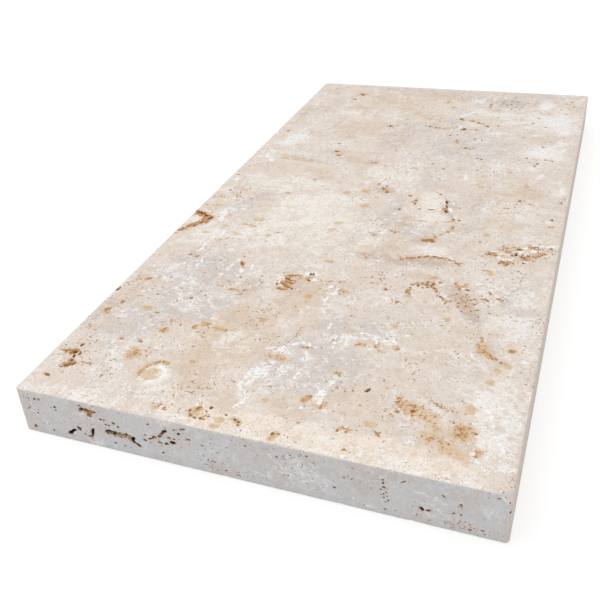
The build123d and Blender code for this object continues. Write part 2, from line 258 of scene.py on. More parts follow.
rust_patches = [
    (31.2, 181.2, 2.6, 1.6, 0, 0.8), (38.8, 179.4, 3, 2.4, 0, 0.7), (78.2, 178, 5, 2.2, 118, 0.85),
    (121.6, 161, 14, 7.6, 98, 0.84), (130, 170.6, 8, 2.4, 160, 0.6), (158, 170.6, 11, 1.9, 3, 0.55),
    (135.6, 170, 4, 2.6, 60, 0.8), (136, 176.4, 2.4, 1.6, 30, 0.9), (165, 158, 6.4, 6, 0, 0.66),
    (251, 169, 16, 11, 125, 0.45), (223.2, 193.2, 4, 3, 0, 0.5), (220, 183.4, 9, 5.4, 0, 0.78),
    (246, 186, 7, 5, 0, 0.62), (262.6, 173.4, 2.6, 2.4, 0, 0.9), (265, 182.6, 4, 1.8, 120, 0.75),
    (183.8, 175.4, 3.4, 1.1, 0, 0.9), (194, 169, 4, 1.4, 125, 0.85), (204, 158, 5, 4, 30, 0.55),
    (17.6, 140, 3.4, 3.2, 60, 0.9), (9, 134.4, 7, 1.9, 52, 0.6), (87, 141, 6, 2.2, 10, 0.8),
    (95.6, 143, 4, 1.4, 40, 0.75), (14.9, 105, 4, 1.4, 100, 0.95), (10.4, 92, 5, 3.2, 150, 0.95),
    (36, 103, 6, 3.4, 5, 0.55), (46.6, 99.6, 2.6, 1.4, 0, 0.75), (45.4, 94.8, 2.4, 1.4, 0, 0.7),
    (62, 81, 4.4, 4, 0, 0.7), (81, 90.6, 3, 3.2, 90, 0.85), (86, 96, 3.4, 3.6, 0, 0.55),
    (95, 93, 7, 2, 0, 0.7), (64, 95, 4, 4, 0, 0.55), (52, 67, 3.4, 2.4, 0, 0.7), (54, 53, 7, 4, 90, 0.42),
    (38, 65, 3, 2, 0, 0.7), (15.4, 43.6, 6, 3.8, 10, 0.9), (19.6, 31.4, 6, 3.8, 35, 0.9),
    (16.2, 51.6, 1.5, 1.1, 80, 0.95), (12, 18, 4.2, 1.5, 160, 0.85), (97, 55, 3, 2.2, 0, 0.6),
    (121, 12, 8, 5.4, 80, 0.56), (128, 10, 6, 6, 0, 0.6), (147.6, 12, 5, 2.8, 160, 0.6),
    (173, 6.4, 5, 2.6, 75, 0.52), (100, 12, 8, 5, 0, 0.45), (180, 42, 4.6, 2.6, 70, 0.62),
    (190, 38.6, 5, 3.4, 30, 0.6), (148, 75, 11, 3.6, 172, 0.5), (163.2, 89.4, 4, 2.2, 170, 0.85),
    (190, 70, 3.4, 1.8, 0, 0.5), (196.6, 102, 4, 2.6, 0, 0.75), (206, 103.6, 3, 4, 0, 0.6),
    (218.4, 103.4, 3, 4.6, 0, 0.55), (212.4, 129, 3, 2, 90, 0.6), (268.8, 127, 4.4, 1.6, 95, 0.72),
    (269.8, 117.4, 6.4, 4.2, 105, 0.8), (276.4, 111.4, 6.4, 2.8, 140, 0.8), (284.8, 106, 3.4, 2, 150, 0.7),
    (287.8, 119.4, 3.8, 2.4, 10, 0.62), (212, 58, 4, 2, 60, 0.7), (233, 55, 6, 1.6, 80, 0.6),
    (243, 48, 4, 2.6, 20, 0.75), (258, 57, 11, 2.6, 158, 0.65), (228, 24, 3, 2, 120, 0.7),
    (210, 23, 6, 3.4, 0, 0.6), (218, 8, 8, 5, 0, 0.5), (266, 3, 7, 2.4, 0, 0.7),
    (206, 247.6, 7, 3, 20, 0.8), (163.6, 246.4, 3, 3, 0, 0.7), (166.5, 213.6, 4, 3.4, 0, 0.7),
    (181, 253, 4, 3, 140, 0.6), (271.5, 247.5, 11, 6.6, 20, 0.74), (268.5, 226.8, 8, 5.4, 0, 0.78),
    (283.6, 237.6, 8.4, 6, 0, 0.7), (275, 240.6, 6, 5, 60, 0.82), (287, 254, 9, 3.6, -8, 0.8),
    (258, 237.2, 6.4, 4.6, 0, 0.74), (292, 246.6, 6, 6, 0, 0.6), (277.2, 249, 2.6, 2, 0, 1.3),
    (298, 255.6, 2, 1.6, 0, 0.9), (295.2, 290, 2.6, 1.6, 0, 0.8), (150.4, 331, 6, 7, 0, 0.6),
    (143, 338, 3, 2, 60, 0.6), (181, 311, 4, 6, 0, 0.5), (126, 385, 4, 3.4, 0, 0.72),
    (85, 396, 3, 2.6, 0, 0.75), (81, 404.6, 3, 2.6, 0, 0.8), (58, 575, 6, 2.6, 140, 0.85),
    (51, 558, 4, 2, 120, 0.6), (160, 565, 6, 2.4, 80, 0.65), (169, 549, 4, 2, 130, 0.65),
    (207, 561, 8, 2.4, 85, 0.65), (184, 515, 3.4, 3, 60, 0.9), (204, 507, 5, 2, 130, 0.75),
    (213, 499, 4, 2.4, 120, 0.9), (224, 502, 4, 2, 0, 0.6), (191, 486, 5, 3, 75, 0.9),
    (204, 487, 3.4, 2.4, 60, 0.8), (156, 488, 3, 1.6, 100, 0.75), (115, 482, 3.4, 1.8, 130, 0.9),
    (171, 483, 5, 3, 0, 0.6), (191, 451, 6, 3, 85, 0.6), (202, 437, 6, 2.6, 0, 0.65),
    (12, 448, 4, 2.4, 60, 0.75), (229, 567, 17, 14, 90, 0.28), (275, 420, 18, 12, 0, 0.4),
    (290, 560, 22, 8, 90, 0.35), (12.4, 231, 18, 3.6, 56, 0.75), (10, 246.6, 11, 2.8, 160, 0.8),
    (274, 39, 8.4, 8, 0, 0.62), (240, 53, 7, 3, 150, 0.6), (248, 48, 11, 7, 148, 0.4),
    (262, 27, 10, 6, 148, 0.38), (240, 48, 9, 5, 160, 0.5), (262, 30, 10, 4, 165, 0.45),
    (282, 25, 5, 3, 60, 0.6), (300, 340, 12, 3, 90, 0.5), (10, 285, 10, 7, 0, 0.5),
    (24, 292, 22, 8, 110, 0.45),
]
gold_patches = [
    (121, 12, 6.4, 5, 80, 1), (138, 9.4, 3.8, 3.4, 0, 1.1), (137.5, 4.4, 3.6, 2.6, 0, 1),
    (147.6, 12, 5.4, 3.2, 160, 1.1), (173.2, 6, 6, 3, 75, 1), (179.8, 41, 4.4, 3.2, 40, 1.2),
    (190, 38.8, 6, 4, 30, 1.1), (157, 33.6, 2.8, 2.6, 0, 1.1), (96, 8, 4, 3, 0, 0.8),
    (143.3, 146.6, 4.5, 4.3, 0, 1.5), (123.8, 110.6, 3.7, 3.4, 0, 1.4), (242.6, 143.2, 3.4, 3.2, 0, 1.3),
    (62, 81, 4.4, 4.2, 0, 1.1), (54.4, 53, 8.4, 5.6, 96, 1.45), (77.4, 36.2, 8, 7, 90, 0.76),
    (70.8, 37.6, 4, 2, 95, 1.1), (71.4, 43.4, 3.6, 2.4, 70, 1.2), (75.6, 48, 4, 2.6, 35, 1.2),
    (81.4, 49.6, 3.6, 2.4, 0, 1.1), (240, 51, 9.4, 7.6, 150, 0.84), (250, 46, 12.4, 8, 146, 0.76),
    (258, 39.4, 7, 4.6, 120, 0.8), (258, 29, 10.4, 7, 150, 0.84), (269, 22.6, 10.4, 6.4, 146, 0.86),
    (276, 17.4, 6, 3.6, 140, 0.8), (272.7, 38.7, 9.8, 9.6, 0, 1), (282.5, 25.5, 4.2, 3.8, 60, 1.2),
    (282, 98, 3.4, 3.4, 0, 1.1), (288, 104, 3, 3, 0, 1), (280, 86, 3.4, 3.8, 0, 1),
    (222, 31, 5.4, 3.4, 0, 1), (273, 58, 4.4, 5.4, 0, 1), (97, 55, 3.6, 2.6, 0, 1.2),
    (148, 75, 13, 4.4, 172, 0.8), (164, 90, 4.8, 2.8, 170, 0.8), (190, 70, 4.4, 2.4, 0, 1.1),
    (36, 103, 6.4, 3.6, 4, 1.1), (86, 96, 3.8, 4, 0, 1.2), (98.6, 94, 5.6, 3.4, 0, 1),
    (38.8, 179.4, 3.2, 2.6, 0, 1.2), (17.6, 140, 3.4, 3.4, 60, 1.1), (223.2, 193.2, 4.4, 3.2, 10, 1.3),
    (210.8, 165, 2.8, 2.6, 0, 1.3), (223.8, 161.4, 2.2, 2.2, 0, 1.3), (212, 126.8, 2.6, 3.2, 0, 1.2),
    (269.8, 117.6, 7, 4.4, 105, 1.2), (276.6, 111.4, 7, 3, 140, 1.2), (285.4, 105.8, 4, 2.4, 150, 1.2),
    (287.9, 119.6, 4, 2.8, 10, 1.2), (166.5, 213.7, 4, 3.4, 0, 1.1), (163.6, 246.4, 3.2, 3.2, 0, 1.1),
    (206, 248, 6.4, 3.2, 20, 1.1), (271, 246.6, 6, 3.8, 30, 1), (267.6, 227.6, 4.2, 2.8, 10, 1.1),
    (249.2, 266, 3.3, 4.8, 0, 1.3), (260.3, 211, 3, 3, 0, 1), (295.2, 290, 2.8, 1.8, 0, 1.1),
    (123, 161, 10, 4.4, 98, 1), (185, 114, 5, 2.2, 0, 1), (196.6, 102, 3.6, 2.6, 0, 1.1),
    (206, 104, 3, 3.6, 0, 1.1), (218.4, 104, 3, 3.6, 0, 0.9), (142.6, 197, 5, 3, 0, 1.1),
    (16, 266, 4.8, 4.8, 0, 1.1), (33, 250.4, 4.2, 4.2, 0, 0.85), (39, 232.6, 4.4, 3, 0, 0.8),
    (62, 250, 6, 5, 0, 0.85), (26.8, 218, 4, 3, 0, 0.8), (61, 236.8, 5, 3.4, 0, 0.8),
    (53, 239, 3, 3, 0, 0.8), (43.4, 207.6, 3, 3, 0, 0.8), (52, 222.4, 6, 2, 160, 0.8),
    (67.6, 303.6, 3.6, 2.6, 0, 1.3), (119, 315.8, 4.4, 4.4, 0, 1.2), (135, 322.6, 4.8, 6, 0, 1.3),
    (141.6, 294.6, 4.4, 5, 0, 1.2), (147, 312, 3.4, 2.6, 0, 1), (174.8, 322.4, 3, 2.4, 0, 1.1),
    (81.6, 337, 3.4, 4.4, 0, 1), (63.6, 341.4, 5, 2, 20, 0.9), (130, 259, 4.6, 4.2, 0, 0.75),
    (128, 246, 4.2, 5.2, 0, 0.72), (118, 234, 3.2, 4.6, 0, 0.75), (80, 225, 3.6, 3.6, 0, 0.85),
    (100, 385, 3, 2.8, 0, 0.9), (166, 380, 4.2, 3.8, 0, 0.85), (35, 379, 4.2, 3.2, 0, 1.1),
    (50, 376, 12, 2.4, 165, 0.8), (254, 339, 3, 2.8, 0, 0.9), (232, 352, 3.6, 3.6, 0, 0.9),
    (262, 208, 3, 3.4, 0, 0.9), (58, 573, 6, 5, 140, 1), (53, 557, 3, 3, 0, 1.1),
    (81, 404.6, 3.2, 2.8, 0, 1.3), (85.2, 395.6, 2.8, 2.6, 0, 1.3), (252, 475, 4, 4, 0, 0.8),
]
# The peach band along the near arris is partly warm stone and partly painted highlight.
peach_patches = [
    (225, 9, 76, 16, 0, 0.76), (150, 9, 60, 15, 0, 0.6), (262, 13, 26, 13, 0, 0.8),
    (150, 60, 60, 30, 0, 0.2),
]
cream_patches = [
    (194.5, 317, 13, 22, 0, 1), (201, 287, 17, 11, 5, 1), (4, 236, 6, 9, 0, 1.1),
    (100, 265, 46, 60, 0, 0.9), (115, 225, 36, 22, 0, 0.75), (62, 322, 40, 24, 0, 0.65),
    (30, 330, 22, 14, 0, 0.55), (145, 360, 50, 20, 0, 0.55), (30, 212, 28, 12, 0, 0.4),
    (195, 317, 9, 13, 0, 0.9), (203, 283, 14, 8, 10, 0.85), (213, 233, 18, 8, 0, 0.85),
    (62, 515, 16, 14, 0, 0.6), (165, 235, 14, 8, 0, 0.5), (8, 238, 8, 10, 0, 0.8), (80, 36.5, 9, 9, 0, 1.4),
    # The first three patches on this line, along the near arris, are partly creamy stone and partly painted
    # highlight.
    (220, 10, 66, 17, 0, 0.58), (150, 10, 60, 16, 0, 0.7), (60, 5, 60, 8, 0, 0.4),
    (262, 505, 36, 18, 0, 0.35), (278, 437, 22, 28, 0, 0.35), (264, 572, 11, 22, 0, 0.3),
    (27, 420, 17, 22, 0, 0.55), (262, 398, 14, 8, 0, 0.5), (292, 178, 10, 12, 0, 0.4),
    (296, 355, 8, 24, 0, 0.5), (8, 190, 10, 20, 0, 0.4), (226, 528, 12, 10, 0, 0.5),
    (290, 540, 12, 24, 0, 0.4), (262, 310, 20, 30, 0, 0.25), (288, 60, 18, 44, 0, 0.65),
]
chalk_patches = [
    (264, 568, 20, 10, 85, 1.1), (218, 534, 20, 9, 10, 0.95), (250, 534, 12, 10, 0, 0.95),
    (276, 522, 28, 20, 0, 0.9), (270, 505, 28, 13, 0, 1), (276, 436, 23, 25, 0, 1),
    (288, 463, 8, 6, 60, 0.9), (290, 494, 12, 8, 60, 0.8), (224, 480, 14, 4, 15, 0.7),
    (297, 585, 6, 14, 0, 0.7), (192, 574, 9, 5, 20, 0.45), (24, 420, 12, 9, 30, 0.9),
    (30, 434, 14, 10, 0, 0.7), (18, 378, 12, 6, 135, 0.7), (296, 356, 6, 12, 0, 0.7),
    (284, 148, 20, 14, 150, 0.8), (262, 398, 12, 8, 0, 0.5), (200, 540, 12, 8, 0, 0.8),
    (240, 512, 20, 9, 10, 0.8), (284, 550, 12, 18, 0, 0.7), (290, 60, 12, 36, 5, 0.35),
]
grey_patches = [
    (46, 291, 17, 8, 40, 1.3), (36, 268, 16, 9, 35, 1.1), (62, 303, 10, 4, 30, 1.1),
    (88, 306, 12, 5, 10, 0.6), (200, 440, 56, 46, 0, 0.55), (52, 160, 38, 34, 0, 0.95),
    (64, 116, 44, 26, 0, 0.85), (172, 74, 38, 36, 0, 0.8), (182, 116, 28, 16, 0, 0.8),
    (286, 176, 14, 22, 0, 0.6), (235, 320, 16, 40, 0, 0.45), (168, 290, 12, 30, 0, 0.6),
    (228, 575, 24, 22, 0, 0.7), (188, 575, 24, 20, 0, 0.6), (150, 482, 30, 28, 0, 0.55),
    (14, 505, 15, 26, 0, 0.25), (196, 254, 14, 10, 0, 0.7), (185, 352, 18, 14, 30, 0.6),
    (234, 274, 12, 16, 0, 0.5), (30, 92, 34, 40, 0, 0.85), (120, 600, 90, 9, 0, 0.6),
    (250, 598, 46, 12, 0, 0.6), (248, 166, 17, 8, 125, 0.9), (258, 151, 12, 5, 122, 0.9),
    (205, 130, 30, 20, 0, 0.35), (180, 510, 18, 12, 0, 0.6),
]
tan_patches = [
    (213, 230, 16, 8, 0, 0.5), (10, 240, 12, 10, 60, 0.6), (126, 160, 10, 14, 0, 0.6),
    (205, 101, 20, 9, 0, 0.45), (165, 246, 6, 8, 0, 0.5), (86, 92, 16, 8, 0, 0.5),
    (75, 540, 60, 30, 30, 0.4), (130, 540, 40, 50, 0, 0.35), (243, 190, 20, 12, 0, 0.45),
    (52, 560, 8, 14, 120, 0.45), (282, 90, 5, 5, 0, 0.5), (100, 566, 52, 32, 10, 0.66),
    (55, 572, 30, 20, 0, 0.6), (118, 536, 16, 12, 150, 0.9), (112, 92, 28, 44, 0, 1.1),
    (90, 42, 40, 22, 0, 0.7), (264, 330, 34, 50, 0, 0.6), (140, 132, 22, 20, 0, 0.7),
    (14, 475, 10, 9, 0, 0.7), (150, 28, 60, 16, 0, 0.5), (240, 110, 26, 32, 0, 0.35),
    (215, 55, 30, 20, 0, 0.4), (30, 350, 26, 14, 0, 0.3), (180, 228, 40, 14, 0, 0.4),
    (120, 395, 60, 18, 0, 0.3), (255, 22, 40, 16, 0, 0.5), (12, 110, 14, 50, 0, 0.5),
    (86, 466, 28, 28, 0, 0.65), (130, 528, 36, 7, 138, 0.95), (274, 240, 20, 14, 30, 0.9),
    (140, 152, 16, 20, 0, 0.6), (150, 575, 30, 22, 0, 0.4), (90, 350, 30, 12, 160, 0.5),
    (25, 300, 16, 14, 0, 0.4),
]
umber_patches = [
    (240, 184, 9, 8, 120, 0.6), (246, 171, 12, 9, 125, 0.9), (254.6, 158, 10, 7, 125, 1),
    (261, 147, 8, 4, 120, 0.8), (265, 136, 7, 2.6, 112, 0.6), (216, 192, 24, 8, 170, 0.5),
    (98, 151, 13, 11, 0, 0.6), (12, 508, 10, 28, 0, 0.5), (178, 196, 18, 10, 0, 0.4),
    (178, 212, 20, 10, 0, 0.75), (184, 238, 14, 18, 0, 0.5), (176, 262, 14, 14, 0, 0.5),
    (95, 141, 14, 9, 30, 0.6), (126, 160, 22, 13, 110, 0.6), (128, 448, 26, 44, 0, 0.55),
    (182, 272, 11, 16, 0, 0.75), (212, 214, 27, 8, 0, 0.9), (195, 209, 10, 7, 0, 0.8),
    (150, 328, 11, 10, 0, 0.8), (60, 378, 36, 6, 165, 0.55), (120, 384, 10, 8, 0, 0.7),
    (82, 402, 8, 9, 110, 0.7), (205, 247, 16, 8, 20, 0.7), (150, 590, 60, 14, 0, 0.45),
    (20, 585, 18, 16, 0, 0.4), (58, 574, 9, 7, 0, 0.7), (186, 512, 12, 8, 0, 0.7), (112, 482, 9, 8, 0, 0.5),
    (185, 486, 24, 6, 0, 0.55), (166, 213, 9, 7, 0, 0.7), (272, 118, 14, 9, 130, 0.6),
    (12, 140, 9, 8, 0, 0.5), (10, 98, 10, 14, 0, 0.5), (160, 168, 26, 7, 0, 0.45),
    (212, 305, 8, 20, 0, 0.65), (228, 268, 12, 10, 0, 0.5), (15, 45, 12, 20, 0, 0.45),
    (225, 572, 14, 16, 0, 0.5),
]
# A trail is (its width, its strength, its course from the left and the near end).
rust_trails = [
    (0.9, 0.85, [(5, 43.8), (10.3, 43.4), (15.4, 44.4)]),
    (0.8, 0.75, [(24.8, 35.8), (29, 35.2), (33.4, 34.9)]), (0.8, 0.75, [(17, 41), (18.2, 36.6), (20, 33)]),
    (0.8, 0.7, [(14.5, 28.2), (19, 30)]), (1.7, 0.72, [(211, 166), (209.6, 173)]),
    (1.6, 0.6, [(209.8, 175.6), (211, 181), (214.4, 184.4)]), (1.7, 0.7, [(226, 182), (229.6, 174.8)]),
    (1.6, 0.58, [(231, 172.6), (234.6, 168.4), (240, 162.6)]),
    (1.4, 0.7, [(238.6, 191.6), (241.6, 187), (244, 183)]),
    (1.2, 0.6, [(269, 176), (273, 177), (276, 173)]), (1.2, 0.5, [(240.6, 170), (240.4, 156)]),
    (0.8, 0.6, [(190, 339.6), (198.6, 331.4), (203.6, 327.6), (207, 320)]),
    (1.2, 0.6, [(208.6, 313), (210, 304)]), (1, 0.6, [(212.6, 297.4), (216, 292.6), (218.8, 288)]),
    (0.8, 0.62, [(190.4, 277.4), (204, 279), (217, 281.2), (224, 285)]),
    (1.6, 0.6, [(222, 278), (220.4, 266), (216, 260), (211.6, 253)]),
    (1, 0.5, [(182.4, 318), (182.6, 309), (183.4, 301)]),
    (2, 0.66, [(193.4, 213.8), (203.6, 218), (209, 221.4)]),
    (2.2, 0.76, [(209, 221.4), (218, 222.8), (227, 222.2)]),
    (1.8, 0.62, [(227, 222.2), (232, 219), (237, 216.4)]), (2.9, 0.74, [(0, 252), (9, 249.5), (21, 242)]),
    (3.5, 0.7, [(21, 242), (15, 232), (9, 222), (2, 212)]),
    (1.5, 0.62, [(70, 33), (69.6, 38), (71, 43), (74.4, 47.4), (79, 49.6), (83, 48.6)]),
    (2, 0.52, [(86, 97), (95, 92.5), (104, 93)]),
    (2.2, 0.55, [(186, 513), (196, 511.5), (205, 506), (213, 499)]), (1.7, 0.44, [(266, 332), (276, 327)]),
    (1.9, 0.44, [(233, 62), (231, 52), (234, 46)]), (1.2, 0.6, [(121, 105), (122.4, 100)]),
    (0.9, 0.6, [(152, 112), (152, 99)]), (2, 0.55, [(148, 490), (160, 487), (175, 482)]),
]
white_trails = [
    (1.3, 1.2, [(30, 270), (24.4, 258), (28, 250), (26, 243), (32, 239)]),
    (1, 1.6, [(113, 168), (115.4, 163), (113.6, 159)]), (0.9, 1.5, [(115.6, 167), (118, 163)]),
    (0.9, 1.5, [(114.6, 161.4), (118.4, 157.4)]), (0.7, 1.3, [(118, 167.4), (125, 166)]),
    (0.7, 1.3, [(118.4, 161.8), (125, 161)]), (0.7, 1.2, [(118.6, 156.6), (125.6, 156)]),
    (0.8, 1.7, [(35.8, 200), (36, 188)]), (0.7, 1.3, [(36, 224), (36.4, 206)]),
    (0.8, 1.3, [(41.4, 234), (42.6, 216)]), (0.8, 1.5, [(46.4, 195), (44, 187), (44, 168), (46, 163)]),
    (0.8, 1.5, [(74, 183.6), (71.4, 174), (70.6, 167)]),
    (1.3, 1.7, [(80, 44.4), (84.6, 42.6), (86.4, 37), (84.4, 31.4), (79, 28.8)]),
    (1.4, 1.7, [(131, 173), (133, 177.4), (136.4, 179.4), (139.4, 175.4)]),
    (0.7, 1.7, [(153.6, 159), (155, 164.4), (158, 166), (160.4, 161), (160.4, 156), (157.6, 153),
      (154.6, 155), (153.6, 159)]),
    (0.8, 1.4, [(157.4, 153), (156.8, 146), (158, 137), (161, 129.6)]),
    (1.4, 1.5, [(284, 252), (292, 257), (304, 261)]), (0.8, 1.4, [(207, 223.4), (213, 225.6), (219, 226)]),
    (0.8, 1.3, [(222, 225.6), (228, 224.6), (231, 222.6)]),
    (1.3, 1.2, [(183, 96), (182, 108), (190, 114), (201, 113), (206, 105)]),
    (1.2, 1.2, [(204, 112), (212, 116), (217, 108)]),
    (1.3, 1.5, [(152, 89), (156, 92), (163, 93), (168, 91)]),
    (1.5, 1.3, [(139.5, 82), (146, 84.5), (152, 89)]),
    (0.7, 1.5, [(138, 41), (143, 36), (146, 33.6), (144, 28), (142, 24)]),
    (0.9, 1.7, [(148, 57), (147.4, 63), (148.6, 70)]),
    (1.3, 1.8, [(136, 41), (137, 50), (139.5, 58), (146, 60)]),
    (1.1, 1.7, [(141, 44), (143, 52), (146, 57)]), (0.9, 1.7, [(165.6, 57), (167, 62), (168.4, 67)]),
    (1.4, 1.8, [(188.6, 40), (187.6, 49), (190, 60)]), (1, 1.1, [(153.6, 53), (158, 57), (160, 62)]),
    (0.8, 1, [(172, 102), (174, 92), (178, 80), (182, 70)]),
    (0.9, 1.1, [(163.6, 85), (166, 81), (168, 78)]),
    (1.2, 1.2, [(272, 80), (278, 66), (286, 56), (290, 38), (300, 26)]),
    (1.2, 1.2, [(280, 60), (292, 66), (301, 60)]), (1.2, 1.2, [(284, 36), (280, 24), (290, 12)]),
    (1.1, 1.2, [(292, 40), (300, 48), (303, 60)]), (1.1, 0.9, [(112, 506), (130, 498), (150, 487)]),
    (1.2, 1.2, [(296, 470), (288, 464), (280, 452)]),
]
# The near end's patches and trails are measured from the left and from the top.
end_white = [
    (190, 17, 16, 13, 0, 0.75), (206, 22, 7, 9, 0, 0.55), (231, 30, 3, 2, 0, 0.8), (266, 22, 9, 6, 30, 0.5),
    (50, 14, 10, 5, 0, 0.35), (150, 20, 14, 9, 0, 0.4), (115, 24, 12, 6, 0, 0.35), (296, 14, 7, 5, 0, 0.4),
    (286, 27, 8, 4, 20, 0.4), (98, 8, 8, 4, 0, 0.3), (57, 29, 4, 3, 0, 0.7), (20, 16, 7, 5, 0, 0.3),
    (136, 10, 10, 5, 20, 0.4), (222, 26, 6, 4, 0, 0.35), (245, 26, 8, 4, 10, 0.3),
]
end_wisps = [
    (0.6, 1.1, [(6, 12), (14, 20), (22, 26)]), (0.6, 1.1, [(40, 12), (50, 9), (60, 12)]),
    (0.6, 1.1, [(122, 26), (131, 18), (139, 15)]), (0.6, 1.1, [(172, 8), (180, 16), (192, 20)]),
    (0.6, 1.1, [(184, 28), (194, 22), (204, 22)]), (0.6, 1.1, [(250, 10), (260, 12), (272, 16)]),
    (0.6, 1.1, [(262, 16), (268, 22), (276, 27)]), (0.6, 1.1, [(258, 19), (265, 26), (270, 31)]),
    (0.6, 1.1, [(280, 18), (290, 16), (299, 20)]), (0.6, 1.1, [(150, 28), (162, 24), (171, 26)]),
]
end_rust = [
    (108, 14, 12, 7, 0, 0.6), (238.5, 15, 2.6, 9, 0, 0.6), (284, 29.6, 15, 4, 8, 0.95),
    (220, 7, 8, 6, 0, 0.5), (8, 5, 5, 3, 0, 0.6), (28, 10, 5, 3, 0, 0.5), (100, 19, 8, 3, 0, 0.65),
    (279, 17, 4, 6, 0, 0.6), (67, 13, 8, 3, 20, 0.5), (48, 27, 6, 2, 20, 0.6), (84, 25, 5, 2, 30, 0.75),
    (186, 6, 10, 2.4, 160, 0.5), (300, 30, 4, 4, 0, 0.5), (6, 30, 4, 4, 0, 0.55), (40, 31, 14, 3, 0, 0.4),
    (140, 27, 14, 5, 0, 0.4), (160, 6, 14, 3, 0, 0.35), (260, 30, 8, 3, 0, 0.4), (246, 5, 10, 3, 0, 0.4),
]
end_gold = [
    (54, 31.5, 6, 2.4, -8, 0.9), (56, 18, 1.6, 1.4, 0, 0.7), (172, 25, 3, 4, 0, 0.6),
    (105, 2, 8, 2, 0, 0.6), (51, 8.5, 3, 2, 0, 0.6), (262, 25.6, 3, 1.4, 0, 0.6), (86, 28, 4, 3, 0, 0.35),
]

# Pits: small pores that the saw opened, strewn thickly where iron stained the stone and thinly elsewhere.
# Each is round or a little drawn out, and most are less than a millimetre deep.
pit_seed = 11
top_pits, end_pits = 90, 90
pit_depth = 0.9
drawn_out = 1.7
unpitted_strength = 0.4
pit_spread, trail_spread = 0.5, 0.6
bunches_a_millimetre, bunch = 0.3, 3
usual_trail, thin_trail_scale = 1.8, 0.6
rim_margin, arris_margin, bed_margin = 3.5, 2.8, 3.2
dice = np.random.default_rng(pit_seed)


def legs(course):
    """The straight stretches of a trail's course, each as its two ends."""
    return zip(np.array(course[:-1], float), np.array(course[1:], float))


def strewn(patches, trails, crowding, small, large):
    """Pits scattered over the patches and along the trails, as many as each one's size and strength ask for."""
    pits = []
    for across, along, long, wide, tilt, most in patches:
        turn = math.radians(tilt)
        for _ in range(round(long * wide * max(most - unpitted_strength, 0) * crowding)):
            u, v = long * dice.normal(0, pit_spread), wide * dice.normal(0, pit_spread)
            x = across + u * math.cos(turn) - v * math.sin(turn)
            y = along + u * math.sin(turn) + v * math.cos(turn)
            pits.append((x, y, 1.0))
    for wide, most, course in trails:
        scale = min(max(wide / usual_trail, thin_trail_scale), 1.0)
        for a, b in legs(course):
            bunches = dice.uniform(0, 1, round(math.dist(a, b) * most * bunches_a_millimetre))
            for share in np.repeat(bunches, bunch):
                pits.append((*(a + share * (b - a) + wide * dice.normal(0, trail_spread, 2)), scale))
    made = []
    for across, along, scale in pits:
        size = scale * dice.uniform(small, large)
        long = size * dice.uniform(1, drawn_out)
        made.append((across, along, long, size, dice.uniform(0, 180), size * pit_depth))
    return made


def strays(low, high, count):
    """Places for single pits, anywhere between two corners of a face."""
    return [(across, along, 1, 1, 0, 1) for across, along in dice.uniform(low, high, (count, 2))]


def clear_of_rim(pits, low, high):
    """The pits that lie between two corners of a face, clear of its worn arrises."""
    return [pit for pit in pits if low[0] < pit[0] < high[0] and low[1] < pit[1] < high[1]]


top_strays = strays((4, 4), (width - 4, length - 4), top_pits)
end_strays = strays((4, 3), (width - 4, thickness - 3), end_pits)
top_pitting = strewn(rust_patches, rust_trails, 0.36, 0.45, 0.95) + strewn(top_strays, [], 2, 0.4, 0.7)
top_voids += clear_of_rim(top_pitting, (rim_margin, rim_margin), (width - rim_margin, length - rim_margin))
top_voids += [
    (across, along, dice.uniform(1.2, 1.9), 1.1, dice.uniform(0, 180), 1.8) for across, along in far_spots]
end_pitting = strewn(end_rust, [], 0.55, 0.28, 0.52) + strewn(end_strays, [], 2, 0.24, 0.42)
end_voids += clear_of_rim(end_pitting, (rim_margin, arris_margin), (width - rim_margin, thickness - bed_margin))

# The skin: the sawn faces as triangles, close together where a void, a pit or a small stain needs them and wide
# apart elsewhere. Points along the rim are shared by the top, the sides and the bed, so that the three meet.
rim_step, side_step, top_step, bed_step, end_step = 1.6, 2.6, 2.9, 7.0, 1.5
void_step_least, void_step_most, void_steps = 0.37, 0.82, 2.5
stain_step_least, stain_steps, stain_reach = 0.92, 2.7, 1.4
trail_step = 0.84
break_step, break_patch = 0.7, 14.0
small_stain = 4.6
row_jitter = 0.3
bend_marks, arris_marks = 6, 4
rim_clear, bed_clear = 1.2, 5
coarse_clear, close_clear, fine_clear = 0.8, 0.6, 0.3


def turned(off, tilt):
    """How far offsets run along and across a patch or a void that is tilted by so many degrees."""
    turn = math.radians(tilt)
    along = off[:, 0] * math.cos(turn) + off[:, 1] * math.sin(turn)
    return along, off[:, 1] * math.cos(turn) - off[:, 0] * math.sin(turn)


def covers(patch, points):
    """Which points lie in a patch, an ellipse of (middle, half length, half width, tilt, spacing)."""
    middle, long, wide, tilt, _ = patch
    along, across = turned(points - np.array(middle), tilt)
    return (along / long) ** 2 + (across / wide) ** 2 < 1


def scattered(low, high, spacing, keep_off):
    """Points about spacing apart over a rectangle, set off their rows by chance, clear of the finer patches."""
    counts = np.maximum(1, np.round((np.array(high) - low) / spacing)).astype(int)
    grid = np.stack(np.meshgrid(*[np.arange(n) + 0.5 for n in counts], indexing="ij"), -1).reshape(-1, 2)
    grid += dice.uniform(-row_jitter, row_jitter, grid.shape)
    points = np.array(low) + grid * (np.array(high) - low) / counts
    for patch in keep_off:
        points = points[~covers(patch, points)]
    return points


def patch_points(patches):
    """Closer points over each patch, the finest patches first."""
    taken, points = [], []
    for patch in sorted(patches, key=lambda p: p[4]):
        middle, long, wide, tilt, spacing = patch
        reach = max(long, wide)
        cloud = scattered(np.array(middle) - reach, np.array(middle) + reach, spacing, taken)
        points.append(cloud[covers(patch, cloud)])
        taken.append(patch)
    return np.concatenate(points), taken


def around_voids(voids, place, flip):
    """A patch of closer points over each void's mouth, in the flat coordinates that place gives."""
    patches = []
    for across, along, long, wide, tilt, _ in voids:
        spacing = min(max(wide / void_steps, void_step_least), void_step_most)
        margin = 0.35 * wide + spacing
        patches.append((place(across, along), long + margin, wide + margin, flip * tilt, spacing))
    return patches


